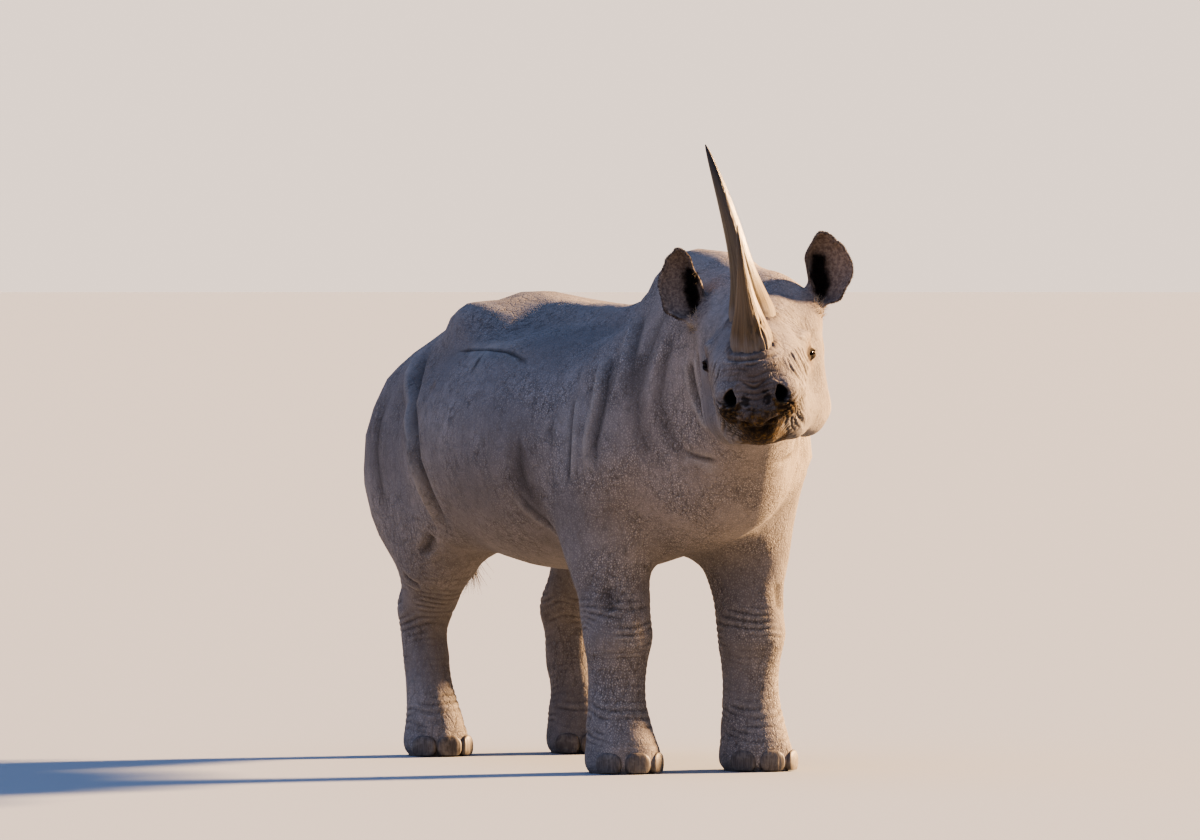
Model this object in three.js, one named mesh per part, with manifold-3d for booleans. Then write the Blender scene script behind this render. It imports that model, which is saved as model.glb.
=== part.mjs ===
// A black rhinoceros as a life-size standing model, its head turned to its right.
// Millimetres, +Z up. The animal faces -Y, its left side is +X, and its soles stand at z = 0.
//
// The flesh is one smooth form: rounded masses of muscle and bone that blend into each other.
// A closed surface is drawn round that form, finest on the head, and thin flat cuts part it
// into trunk, neck, head and legs. Ears, horns, eyes, toenails and tail are shaped one by one.

import * as THREE from 'three';
import { mergeVertices } from 'three/addons/utils/BufferGeometryUtils.js';
import Module from 'manifold-3d';

const wasm = await Module();
wasm.setup();

// ---------------------------------------------------------------- driving dimensions

const GAP = 0.3;                    // clear space between two pieces that meet

const WITHERS_HEIGHT = 1546;        // top of the shoulders; they stand at y = 0
const SADDLE_HEIGHT = 1380;         // lowest point of the back
const CROUP_HEIGHT = 1424;          // top of the pelvis
const BELLY_HEIGHT = 575;
const SADDLE_Y = 450;
const CROUP_Y = 1020;
const RUMP_Y = 1556;                // hindmost point of the thighs

const SHOULDER_HALF = 342;          // half widths across the body
const BARREL_HALF = 515;
const HIP_HALF = 446;

const FORE_LEG_X = 218;
const FORE_FOOT_Y = -55;
const HIND_LEG_X = 238;
const HIND_FOOT_Y = 1290;
const KNEE_HEIGHT = 405;
const HOCK_HEIGHT = 480;
const FORE_FOOT_HALF = 118;
const HIND_FOOT_HALF = 104;

const EYES = new THREE.Vector3(-140, -850, 1230);    // midpoint between the eyes
const HEAD_TURN = THREE.MathUtils.degToRad(28);      // to the animal's right
const HEAD_ROLL = THREE.MathUtils.degToRad(6.6);     // left side up
const EYE_HALF_SPAN = 142;
const EYE_RADIUS = 19;
const POLL_BACK = 300;              // the poll's place behind the eyes, and above them
const POLL_UP = 228;
const NOSE_FORWARD = 366;
const CHIN_DOWN = 250;

// each horn: places as [forward, up] in the head's frame, half sizes of its foot, and its outline,
// a stem that thins to the tip with the given taper on a foot that flares out below it
const FRONT_HORN = {
  foot: [-248, 12], bow: [-322, 215], tip: [-300, 394], lean: 0,
  half: 72, depth: 90, stem: 0.5, taper: 0.85, flare: 0.34,
};
const REAR_HORN = {
  foot: [-58, 88], bow: [-92, 372], tip: [-20, 637], lean: -82,
  half: 76, depth: 92, stem: 0.55, taper: 0.6, flare: 0.22,
};
const HORN_TIP = 1.8;               // half width of the blunt point

const EAR_CANAL = [194, 238, 240];  // middle of the cup, in the head's frame
const EAR_HEIGHT = 216;
const EAR_INNER = 42;               // how far the cup reaches to each side of its canal
const EAR_OUTER = 96;
const EAR_DEPTH = 60;
const EAR_WALL = 9;
const EAR_TURN = THREE.MathUtils.degToRad(8);        // outwards

const NOSTRIL = { centre: [76, -352, -106], radii: [19, 40, 25], turn: THREE.MathUtils.degToRad(18) };
const NAIL = { radii: [33, 14, 38], height: 30, proud: 4, spread: THREE.MathUtils.degToRad(47), clear: 4 };

const TAIL = { root: 1190, bend: 1105, tip: 560, half: 38, tassel: 30 };   // heights, then half widths

const NECK_CUT = { y: -270, z: 1240, slope: 0.344 }; // the cut leans back towards the withers
const HEAD_CUT_BACK = 312;          // the cut between head and neck, behind the eyes
const LEG_CUT = 588;                // height of the flat cut at the top of each leg

const STEP = { trunk: 95, neck: 75, leg: 61, head: 38 };   // spacing of the surface's points
const REACH = {                     // corners of the boxes that the surfaces are drawn in
  trunk: [[-560, -640, LEG_CUT - 2 * STEP.trunk], [560, 1640, 1620]],
  neck: [[-420, -900, 500], [420, 60, 1640]],
  head: [[-230, -430, -330], [230, 380, 300]],
};

// ---------------------------------------------------------------- forms
// A form is a function of a point: its distance to the form's surface, negative inside.

const at = (x, y, z) => new THREE.Vector3(x, y, z);

function ball(centre, radii) {
  const [rx, ry, rz] = radii;
  return (p) => {
    const x = (p.x - centre[0]) / rx;
    const y = (p.y - centre[1]) / ry;
    const z = (p.z - centre[2]) / rz;
    const reach = Math.hypot(x, y, z);
    const slope = Math.hypot(x / rx, y / ry, z / rz);
    return slope < 1e-9 ? -Math.min(rx, ry, rz) : reach * (reach - 1) / slope;
  };
}

// a limb bone with its flesh: round at both ends, its radius changing evenly between them
function shaft(from, fromRadius, to, toRadius) {
  const start = at(...from);
  const along = at(...to).sub(start);
  const length2 = along.lengthSq();
  const offset = at(0, 0, 0);
  return (p) => {
    offset.subVectors(p, start);
    const t = THREE.MathUtils.clamp(offset.dot(along) / length2, 0, 1);
    return offset.addScaledVector(along, -t).length() - THREE.MathUtils.lerp(fromRadius, toRadius, t);
  };
}

const CHAIN_SOFTNESS = 25;

// several shafts end to end, through a list of [x, y, z, radius]
function chain(...stations) {
  const shafts = [];
  for (let i = 0; i + 1 < stations.length; i += 1) {
    const [a, b] = [stations[i], stations[i + 1]];
    shafts.push(shaft(a.slice(0, 3), a[3], b.slice(0, 3), b[3]));
  }
  return blend(CHAIN_SOFTNESS, ...shafts);
}

function join(a, b, softness) {
  const overlap = Math.max(softness - Math.abs(a - b), 0) / softness;
  return Math.min(a, b) - overlap * overlap * softness / 4;
}

function blend(softness, ...forms) {
  return (p) => forms.reduce((nearest, form) => join(nearest, form(p), softness), Infinity);
}

function hollow(form, softness, ...hollows) {
  return (p) => hollows.reduce((d, cavity) => -join(-d, cavity(p), softness), form(p));
}

const folded = at(0, 0, 0);
function bothSides(form) {
  return (p) => form(folded.set(Math.abs(p.x), p.y, p.z));
}

// ---------------------------------------------------------------- masses of the body

const spine = chain(
  [0, -260, WITHERS_HEIGHT - 100, 80],
  [0, -80, WITHERS_HEIGHT - 96, 72],
  [0, 130, WITHERS_HEIGHT - 172, 64],
  [0, 300, SADDLE_HEIGHT - 74, 80],
  [0, SADDLE_Y, SADDLE_HEIGHT - 90, 86],
  [0, 740, SADDLE_HEIGHT - 88, 86],
  [0, CROUP_Y - 30, CROUP_HEIGHT - 106, 92],
  [0, 1180, CROUP_HEIGHT - 150, 96],
  [0, 1400, CROUP_HEIGHT - 225, 92],
  [0, RUMP_Y - 70, CROUP_HEIGHT - 300, 74]);

const barrelRise = (SADDLE_HEIGHT - 30 - BELLY_HEIGHT) / 2;
const barrel = ball([0, 640, BELLY_HEIGHT + barrelRise], [BARREL_HALF, 830, barrelRise]);
const chest = ball([0, -30, 1000], [SHOULDER_HALF - 20, 390, 360]);
const brisket = ball([0, -290, 905], [185, 165, 200]);
const withers = ball([0, -130, 1230], [128, 280, 250]);
const shoulderBlade = chain(
  [80, -50, 1270, 70],
  [190, -60, 1110, 122],
  [SHOULDER_HALF - 112, -110, 930, 124]);
const upperArm = shaft([SHOULDER_HALF - 108, 10, 930], 128, [SHOULDER_HALF - 100, 135, 770], 96);

const pelvis = ball([0, 1160, 1075], [340, 390, 300]);
const hipBone = ball([214, 955, CROUP_HEIGHT - 132], [112, 180, 98]);
const thigh = ball([HIP_HALF - 172, 1270, 880], [172, RUMP_Y - 1270, 340]);
const buttock = shaft([150, RUMP_Y - 125, 1085], 118, [215, RUMP_Y - 135, 860], 125);
const flank = shaft([335, 900, 740], 56, [280, 1060, 700], 96);
const flankHollow = ball([275, 560, SADDLE_HEIGHT + 100], [200, 400, 170]);

const foreLeg = chain(
  [FORE_LEG_X + 12, 25, 830, 150],
  [FORE_LEG_X + 4, 38, 650, 132],
  [FORE_LEG_X, 4, KNEE_HEIGHT + 85, 100],
  [FORE_LEG_X, -20, KNEE_HEIGHT, 100],
  [FORE_LEG_X, -10, KNEE_HEIGHT - 90, 84],
  [FORE_LEG_X, -12, 215, 82],
  [FORE_LEG_X, -30, 125, 94],
  [FORE_LEG_X, FORE_FOOT_Y + 4, 62, 104]);
const foreFoot = ball([FORE_LEG_X, FORE_FOOT_Y, 42], [FORE_FOOT_HALF, FORE_FOOT_HALF + 8, 78]);

const hindLeg = chain(
  [HIND_LEG_X + 46, 1085, 755, 156],
  [HIND_LEG_X + 34, 1170, 630, 122],
  [HIND_LEG_X + 6, 1322, HOCK_HEIGHT + 10, 84],
  [HIND_LEG_X, 1385, HOCK_HEIGHT - 35, 80],
  [HIND_LEG_X, 1368, 300, 70],
  [HIND_LEG_X, 1338, 200, 71],
  [HIND_LEG_X, 1312, 120, 84],
  [HIND_LEG_X, HIND_FOOT_Y, 60, 92]);
const heelCord = shaft([HIND_LEG_X, 1452, HOCK_HEIGHT + 18], 36, [HIND_LEG_X + 14, 1345, 670], 56);
const hindFoot = ball([HIND_LEG_X, HIND_FOOT_Y - 6, 38], [HIND_FOOT_HALF, HIND_FOOT_HALF + 10, 70]);

const neck = blend(90,
  chain(
    [0, -80, WITHERS_HEIGHT - 116, 88],
    [0, -330, WITHERS_HEIGHT - 120, 88],
    [0, -560, WITHERS_HEIGHT - 166, 80]),
  ball([0, -210, 1140], [225, 260, 335]),
  ball([0, -400, 1215], [195, 240, 270]),
  ball([-12, -560, 1265], [168, 190, 200]),
  chain([0, -300, 930, 145], [-25, -480, 1020, 122], [-70, -640, 1085, 102]));

// ---------------------------------------------------------------- masses of the head
// In the head's own frame: the origin lies midway between the eyes, -Y points to the nose.

const skull = blend(60,
  ball([0, 190, 60], [150, 195, 145]),                        // brain case
  ball([0, POLL_BACK - 30, POLL_UP - 74], [138, 76, 82]),     // poll
  ball([0, 40, 28], [132, 200, 104]),                         // forehead
  ball([0, -60, 78], [84, 106, 50]),                          // boss of the rear horn
  ball([0, -150, 0], [94, 150, 86]),                          // bridge of the nose
  ball([0, -250, -12], [90, 108, 52]),                        // boss of the front horn
  ball([0, -80, -72], [120, 250, 136]),                       // face
  bothSides(ball([88, -100, -40], [40, 150, 90])),            // side of the face
  bothSides(ball([70, -180, -130], [46, 110, 66])),           // corner of the mouth
  ball([0, 200, -60], [122, 170, 120]));                      // throat

const muzzle = blend(34,
  ball([0, -258, -92], [112, NOSE_FORWARD - 262, 96]),
  bothSides(ball([78, -312, -102], [42, 44, 48])),            // nostril wings
  ball([0, -314, -150], [88, 60, 36]),                        // upper lip
  ball([0, -356, -164], [36, 28, 26]),                        // its grasping tip
  shaft([0, -100, 78 - CHIN_DOWN], 76, [0, -268, 58 - CHIN_DOWN], 56));

const cheeks = bothSides(blend(40,
  shaft([108, 150, -140], 74, [66, -140, -172], 60),          // lower jaw
  ball([104, 130, -136], [74, 124, 106]),                     // angle of the jaw
  ball([120, 150, -40], [64, 116, 104]),                      // cheekbone
  ball([118, 205, 62], [62, 96, 90]),                         // temple
  ball([EYE_HALF_SPAN - 34, 6, 0], [40, 64, 44]),             // rim of the eye socket
  ball([100, 16, 44], [44, 84, 38]),                          // brow
  ball([142, 232, 122], [44, 56, 56])));                      // root of the ear

const headForm = blend(34, skull, muzzle, cheeks);

const headGroup = new THREE.Group();
headGroup.position.copy(EYES);
headGroup.rotation.set(0, -HEAD_ROLL, -HEAD_TURN, 'ZYX');
headGroup.updateMatrix();
const toHead = headGroup.matrix.clone().invert();
const inHead = at(0, 0, 0);

const trunkForm = hollow(
  blend(90, spine, barrel, chest, brisket, withers, pelvis,
    bothSides(blend(70, shoulderBlade, upperArm, hipBone, thigh, buttock, flank))),
  90, bothSides(flankHollow));
const legForm = bothSides(blend(30,
  blend(30, foreLeg, foreFoot), blend(30, hindLeg, heelCord, hindFoot)));
const bodyForm = blend(90, trunkForm, neck);
const fleshForm = (p) => join(
  join(bodyForm(p), legForm(p), 60),
  headForm(inHead.copy(p).applyMatrix4(toHead)), 60);

// ---------------------------------------------------------------- a surface round a form
// The form is sampled on a grid. Each cell that the surface crosses holds one point, moved
// onto the surface, and the points of the four cells round a crossed grid edge make a face.

class FormGeometry extends THREE.BufferGeometry {
  constructor(shape, min, max, step) {
    super();
    const form = (p) => Math.max(shape(p),
      min.x - p.x, p.x - max.x, min.y - p.y, p.y - max.y, min.z - p.z, p.z - max.z);
    const size = at(0, 0, 0).subVectors(max, min);
    const count = [size.x, size.y, size.z].map((length) => Math.ceil(length / step) + 2);
    const index = (i, j, k) => i + (count[0] + 1) * (j + (count[1] + 1) * k);
    const corner = (i, j, k) => at(min.x + (i - 1) * step, min.y + (j - 1) * step, min.z + (k - 1) * step);

    const depth = new Float64Array((count[0] + 1) * (count[1] + 1) * (count[2] + 1));
    for (let k = 0; k <= count[2]; k += 1) {
      for (let j = 0; j <= count[1]; j += 1) {
        for (let i = 0; i <= count[0]; i += 1) {
          depth[index(i, j, k)] = form(corner(i, j, k));
        }
      }
    }

    const pointOf = new Map();
    const points = [];
    for (let k = 0; k < count[2]; k += 1) {
      for (let j = 0; j < count[1]; j += 1) {
        for (let i = 0; i < count[0]; i += 1) {
          const point = FormGeometry.crossing(i, j, k, index, corner, depth);
          if (point) {
            pointOf.set(index(i, j, k), points.length);
            points.push(point);
          }
        }
      }
    }

    const quads = [];
    const steps = [[1, 0, 0], [0, 1, 0], [0, 0, 1]];
    for (let k = 1; k < count[2]; k += 1) {
      for (let j = 1; j < count[1]; j += 1) {
        for (let i = 1; i < count[0]; i += 1) {
          for (let axis = 0; axis < 3; axis += 1) {
            const [di, dj, dk] = steps[axis];
            const here = depth[index(i, j, k)] < 0;
            const there = depth[index(i + di, j + dj, k + dk)] < 0;
            if (here === there) continue;
            const u = steps[(axis + 1) % 3];
            const v = steps[(axis + 2) % 3];
            const around = [[0, 0], [1, 0], [1, 1], [0, 1]].map(([a, b]) => pointOf.get(index(
              i - a * u[0] - b * v[0], j - a * u[1] - b * v[1], k - a * u[2] - b * v[2])));
            quads.push(here ? around : around.reverse());
          }
        }
      }
    }

    FormGeometry.settle(form, points, quads, step);
    // each quad is parted along its shorter diagonal, unless two other points' edge lies there already
    const edge = (from, to) => `${Math.min(from, to)} ${Math.max(from, to)}`;
    const taken = new Set(quads.flatMap(([a, b, c, d]) => [edge(a, b), edge(b, c), edge(c, d), edge(d, a)]));
    const faces = quads.flatMap(([a, b, c, d]) => {
      const shorter = points[a].distanceTo(points[c]) < points[b].distanceTo(points[d]);
      const [first, second] = shorter ? [edge(a, c), edge(b, d)] : [edge(b, d), edge(a, c)];
      const chosen = taken.has(first) ? second : first;
      taken.add(chosen);
      return chosen === edge(a, c) ? [a, b, c, a, c, d] : [a, b, d, b, c, d];
    });
    this.setAttribute('position', new THREE.Float32BufferAttribute(points.flatMap((p) => [p.x, p.y, p.z]), 3));
    this.setIndex(faces);
  }

  // the middle of the places where a cell's edges cross the surface, or null
  static crossing(i, j, k, index, corner, depth) {
    const sum = at(0, 0, 0);
    let crossings = 0;
    for (let a = 0; a < 8; a += 1) {
      for (let bit = 1; bit < 8; bit *= 2) {
        const b = a + bit;
        if (a & bit) continue;
        const from = [i + (a & 1), j + ((a >> 1) & 1), k + (a >> 2)];
        const to = [i + (b & 1), j + ((b >> 1) & 1), k + (b >> 2)];
        const here = depth[index(...from)];
        const there = depth[index(...to)];
        if ((here < 0) === (there < 0)) continue;
        sum.add(corner(...from).lerp(corner(...to), here / (here - there)));
        crossings += 1;
      }
    }
    return crossings ? sum.divideScalar(crossings) : null;
  }

  // evens the points out along the surface and lays each one on it
  static settle(form, points, quads, step) {
    for (let round = 0; round < 4; round += 1) {
      const sums = points.map(() => at(0, 0, 0));
      const shares = points.map(() => 0);
      for (const quad of quads) {
        for (const point of quad) {
          for (const other of quad) sums[point].add(points[other]);
          shares[point] += 4;
        }
      }
      points.forEach((point, n) => {
        if (round < 3) point.lerp(sums[n].divideScalar(shares[n]), 0.6);
        FormGeometry.lay(form, point, step);
      });
    }
  }

  static lay(form, point, step) {
    const reach = step / 20;
    for (let round = 0; round < 2; round += 1) {
      const here = form(point);
      const slope = at(
        form(at(point.x + reach, point.y, point.z)) - form(at(point.x - reach, point.y, point.z)),
        form(at(point.x, point.y + reach, point.z)) - form(at(point.x, point.y - reach, point.z)),
        form(at(point.x, point.y, point.z + reach)) - form(at(point.x, point.y, point.z - reach)),
      ).divideScalar(2 * reach);
      const move = THREE.MathUtils.clamp(-here / Math.max(slope.lengthSq(), 0.2), -step / 3, step / 3);
      point.addScaledVector(slope, move);
    }
  }
}

// ---------------------------------------------------------------- solids, cuts and moves

function toSolid(geometry) {
  const bare = new THREE.BufferGeometry();
  bare.setAttribute('position', geometry.attributes.position);
  bare.setIndex(geometry.index);
  const merged = mergeVertices(bare, 1e-3);
  return new wasm.Manifold(new wasm.Mesh({
    numProp: 3,
    vertProperties: new Float32Array(merged.attributes.position.array),
    triVerts: new Uint32Array(merged.index.array),
  }));
}

function toGeometry(solid) {
  const mesh = solid.getMesh();
  const geometry = new THREE.BufferGeometry();
  geometry.setAttribute('position', new THREE.BufferAttribute(mesh.vertProperties, 3));
  geometry.setIndex(new THREE.BufferAttribute(mesh.triVerts, 1));
  return geometry;
}

// a copy of a solid that reaches the gap further out, to cut its neighbours with
function swollen(solid) {
  const geometry = toGeometry(solid);
  geometry.computeVertexNormals();
  const { position, normal } = geometry.attributes;
  for (let n = 0; n < position.count; n += 1) {
    position.setXYZ(n,
      position.getX(n) + normal.getX(n) * 2 * GAP,
      position.getY(n) + normal.getY(n) * 2 * GAP,
      position.getZ(n) + normal.getZ(n) * 2 * GAP);
  }
  geometry.deleteAttribute('normal');
  return toSolid(geometry);
}

// a block that fills everything on one side of a plane, as far as the model reaches
const FAR = 5000;
function beyond(point, direction) {
  const geometry = new THREE.BoxGeometry(FAR, FAR, FAR);
  geometry.translate(0, 0, FAR / 2);
  const turn = new THREE.Quaternion().setFromUnitVectors(at(0, 0, 1), direction.clone().normalize());
  geometry.applyQuaternion(turn);
  geometry.translate(point.x, point.y, point.z);
  return toSolid(geometry);
}

function block(min, max) {
  const size = at(0, 0, 0).subVectors(max, min);
  const geometry = new THREE.BoxGeometry(size.x, size.y, size.z);
  geometry.translate((min.x + max.x) / 2, (min.y + max.y) / 2, (min.z + max.z) / 2);
  return toSolid(geometry);
}

// the distance past a plane, positive on the side that the direction points to
function past(point, direction) {
  const unit = direction.clone().normalize();
  const level = unit.dot(point);
  return (p) => unit.dot(p) - level;
}

// a closed cylinder of unit size bent along a curve, its radii given along the way
function bent(curve, radii, sides, rows) {
  const geometry = new THREE.CylinderGeometry(1, 1, 1, sides, rows);
  const { position } = geometry.attributes;
  for (let n = 0; n < position.count; n += 1) {
    const t = THREE.MathUtils.clamp(position.getY(n) + 0.5, 0, 1);
    const [across, deep] = radii(t);
    const tangent = curve.getTangent(t);
    const side = at(1, 0, 0).addScaledVector(tangent, -tangent.x).normalize();
    const front = at(0, 0, 0).crossVectors(side, tangent);
    const place = curve.getPoint(t)
      .addScaledVector(side, position.getX(n) * across)
      .addScaledVector(front, position.getZ(n) * deep);
    position.setXYZ(n, place.x, place.y, place.z);
  }
  return geometry;
}

// the same shape on the other side of the body, with its faces still pointing out
function mirrored(geometry) {
  const copy = geometry.clone();
  copy.scale(-1, 1, 1);
  const { index } = copy;
  for (let n = 0; n < index.count; n += 3) {
    const first = index.getX(n);
    index.setX(n, index.getX(n + 1));
    index.setX(n + 1, first);
  }
  return copy;
}

function globe(centre, radii, sides = 20, rows = 14) {
  const geometry = new THREE.SphereGeometry(1, sides, rows);
  geometry.rotateX(Math.PI / 2);
  geometry.scale(...radii);
  geometry.translate(...centre);
  return geometry;
}

// ---------------------------------------------------------------- materials

const finish = (color, roughness) => new THREE.MeshStandardMaterial({ color, roughness, metalness: 0 });
const SKIN = 0x9a958e;
const skinFinish = () => finish(SKIN, 0.85);
const hornFinish = () => finish(0x6d6350, 0.6);
const nailFinish = () => finish(0x6f675b, 0.55);
const eyeFinish = () => finish(0x1c1511, 0.15);

const rhino = new THREE.Group();
rhino.add(headGroup);

function add(parent, name, solid, material) {
  const mesh = new THREE.Mesh(toGeometry(solid), material);
  mesh.name = name;
  parent.add(mesh);
}

// ---------------------------------------------------------------- trunk, neck and legs

const neckForward = at(0, -1, NECK_CUT.slope);
const neckCut = at(0, NECK_CUT.y, NECK_CUT.z);
const headBack = at(0, HEAD_CUT_BACK, 0).applyMatrix4(headGroup.matrix);
const headForward = at(0, -1, 0).transformDirection(headGroup.matrix);
const neckSide = (offset) => neckCut.clone().addScaledVector(neckForward.clone().normalize(), offset);
const headSide = (offset) => headBack.clone().addScaledVector(headForward, offset);

const LEGS = [
  { name: 'front', y: [-260, 245], x: FORE_LEG_X, footY: FORE_FOOT_Y, footHalf: FORE_FOOT_HALF },
  { name: 'hind', y: [930, 1640], x: HIND_LEG_X, footY: HIND_FOOT_Y - 4, footHalf: HIND_FOOT_HALF },
];
const LEG_INNER = 40;
const LEG_OUTER = 470;
const legBlock = ({ y }, side, top) => {
  const [inner, outer] = side > 0 ? [LEG_INNER, LEG_OUTER] : [-LEG_OUTER, -LEG_INNER];
  return block(at(inner, y[0], -200), at(outer, y[1], top));
};

// three broad nails side by side round the front of a foot
function toenails({ x, footY, footHalf }, side, besideLeg) {
  return [-1, 0, 1].map((place) => {
    const nail = globe([0, 0, 0], NAIL.radii, 8, 4);
    const angle = place * NAIL.spread;
    nail.rotateZ(angle);
    nail.translate(
      side * x + footHalf * Math.sin(angle),
      footY - (footHalf + NAIL.proud) * Math.cos(angle),
      NAIL.height);
    return toSolid(nail).subtract(besideLeg).subtract(beyond(at(0, 0, NAIL.clear), at(0, 0, -1)));
  });
}

const pastNeck = past(neckSide(STEP.trunk * 2), neckForward);
let trunk = toSolid(new FormGeometry(
  (p) => Math.max(fleshForm(p), pastNeck(p)),
  ...REACH.trunk.map((corner) => at(...corner)), STEP.trunk));
trunk = trunk.subtract(beyond(neckCut, neckForward));
for (const limb of LEGS) {
  for (const side of [1, -1]) trunk = trunk.subtract(legBlock(limb, side, LEG_CUT));
}
add(rhino, 'trunk', trunk, skinFinish());

const beforeNeck = past(neckSide(-STEP.neck * 2), neckForward.clone().negate());
const pastHead = past(headSide(STEP.neck * 2), headForward);
const neckSolid = toSolid(new FormGeometry(
  (p) => Math.max(fleshForm(p), beforeNeck(p), pastHead(p)),
  ...REACH.neck.map((corner) => at(...corner)), STEP.neck))
  .subtract(beyond(neckSide(GAP), neckForward.clone().negate()))
  .subtract(beyond(headSide(-GAP), headForward));
add(rhino, 'neck', neckSolid, skinFinish());

for (const limb of LEGS) {
  for (const [sideName, side] of [['left', 1], ['right', -1]]) {
    const room = STEP.leg * 2;
    const [inner, outer] = [LEG_INNER - room, LEG_OUTER + room];
    const leg = toSolid(new FormGeometry(fleshForm,
      at(side > 0 ? inner : -outer, limb.y[0] - room, -room),
      at(side > 0 ? outer : -inner, limb.y[1] + room, LEG_CUT + room), STEP.leg))
      .intersect(legBlock(limb, side, LEG_CUT - GAP))
      .subtract(beyond(at(0, 0, 0), at(0, 0, -1)));
    add(rhino, `leg_${limb.name}_${sideName}`, leg, skinFinish());
    toenails(limb, side, swollen(leg)).forEach((nail, n) => {
      add(rhino, `toenail_${limb.name}_${sideName}_${n + 1}`, nail, nailFinish());
    });
  }
}

// ---------------------------------------------------------------- head

const fromHead = at(0, 0, 0);
let head = toSolid(new FormGeometry(
  (p) => Math.max(fleshForm(fromHead.copy(p).applyMatrix4(headGroup.matrix)), p.y - HEAD_CUT_BACK - STEP.head * 2),
  ...REACH.head.map((corner) => at(...corner)), STEP.head))
  .subtract(beyond(at(0, HEAD_CUT_BACK, 0), at(0, 1, 0)));

for (const side of [1, -1]) {
  const nostril = globe([0, 0, 0], NOSTRIL.radii, 10, 6);
  nostril.rotateZ(side * NOSTRIL.turn);
  nostril.translate(side * NOSTRIL.centre[0], NOSTRIL.centre[1], NOSTRIL.centre[2]);
  const socket = globe([side * EYE_HALF_SPAN, 0, 0], Array(3).fill(EYE_RADIUS + 2 * GAP), 10, 6);
  head = head.subtract(toSolid(nostril)).subtract(toSolid(socket));
}
add(headGroup, 'head', head, skinFinish());

const besideHead = swollen(head);

// ---------------------------------------------------------------- horns, ears and eyes

function horn({ foot, bow, tip, lean, half, depth, stem, taper, flare }, sides, rows) {
  const line = new THREE.QuadraticBezierCurve3(
    at(0, ...foot), at(lean * 0.14, ...bow), at(lean, ...tip));
  const radii = (t) => {
    const width = stem * (1 - t) ** taper + (1 - stem) * Math.exp(-((t / flare) ** 2));
    return [half, depth].map((size) => Math.max(size * width, HORN_TIP));
  };
  return toSolid(bent(line, radii, sides, rows)).subtract(besideHead);
}
add(headGroup, 'horn_front', horn(FRONT_HORN, 12, 9), hornFinish());
add(headGroup, 'horn_rear', horn(REAR_HORN, 12, 10), hornFinish());

// a cup of unit globes: its back is round, and its broad outer wall curls forward to the rim
function cup(shrink, depth, front) {
  const geometry = globe([0, 0, 0], [1, 1, 1], 14, 9);
  const { position } = geometry.attributes;
  for (let n = 0; n < position.count; n += 1) {
    const [x, y, z] = [position.getX(n), position.getY(n), position.getZ(n)];
    const reach = (x > 0 ? EAR_OUTER : EAR_INNER) - shrink;
    const crown = z > 0 ? 1 - 0.2 * z ** 3 : 1;
    const curl = x > 0 ? 1 - 0.35 * x : 1;
    position.setXYZ(n,
      x * reach * crown + 14 * z * Math.abs(z),
      y > 0 ? y * depth * curl : y * front,
      z * (EAR_HEIGHT / 2 - shrink));
  }
  geometry.rotateZ(EAR_TURN);
  geometry.translate(...EAR_CANAL);
  return geometry;
}

function ear(side) {
  const [x, y, z] = EAR_CANAL;
  const stalk = bent(new THREE.LineCurve3(at(x - 52, y + 2, z - 124), at(x - 10, y + 24, z - 12)),
    (t) => [THREE.MathUtils.lerp(36, 22, t), THREE.MathUtils.lerp(40, 24, t)], 8, 2);
  const canal = globe([x - 3, y + 4, z - 18], [14, 34, 54], 8, 6);
  const shapes = [cup(0, EAR_DEPTH, 4), stalk, cup(EAR_WALL, EAR_DEPTH - EAR_WALL, 70), canal];
  const [shell, root, mouth, tube] = shapes.map((shape) => toSolid(side > 0 ? shape : mirrored(shape)));
  return shell.add(root).subtract(mouth).subtract(tube).subtract(besideHead);
}
for (const [name, side] of [['left', 1], ['right', -1]]) {
  add(headGroup, `ear_${name}`, ear(side), skinFinish());
  const eyeball = globe([side * EYE_HALF_SPAN, 0, 0], Array(3).fill(EYE_RADIUS), 10, 6);
  add(headGroup, `eye_${name}`, toSolid(eyeball), eyeFinish());
}

// ---------------------------------------------------------------- tail

const tailLine = new THREE.CatmullRomCurve3([
  at(0, RUMP_Y - 80, TAIL.root),
  at(0, RUMP_Y + 26, TAIL.bend),
  at(4, RUMP_Y + 52, TAIL.bend - 150),
  at(10, RUMP_Y + 44, TAIL.tip + 190),
  at(14, RUMP_Y + 38, TAIL.tip),
]);
const tailRadii = (t) => {
  const stem = TAIL.half * (1 - 0.72 * Math.sin(t * Math.PI / 2));
  const brush = Math.exp(-(((t - 0.86) / 0.12) ** 2));
  return [stem * (1 - 0.5 * t ** 6), THREE.MathUtils.lerp(stem, TAIL.tassel, brush) * (1 - 0.7 * t ** 12)];
};
add(rhino, 'tail', toSolid(bent(tailLine, tailRadii, 8, 14)).subtract(swollen(trunk)), skinFinish());

// ---------------------------------------------------------------- origin

rhino.updateMatrixWorld(true);
const extent = new THREE.Box3().setFromObject(rhino, true);
rhino.position.set(-(extent.min.x + extent.max.x) / 2, -(extent.min.y + extent.max.y) / 2, -extent.min.z);

export default rhino;
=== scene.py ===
"""A black rhinoceros as a life-size museum model: one wrinkled hide over the whole body, with its
horns, toenails, eyes and bristles as pieces of their own. Metres, +Z up. The animal faces -Y,
its left side is +X, and its head is turned to its right."""

import functools
import itertools
import math

import bmesh
import bpy
import numpy as np
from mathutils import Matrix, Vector
from mathutils.bvhtree import BVHTree
from mathutils.geometry import barycentric_transform


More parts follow.
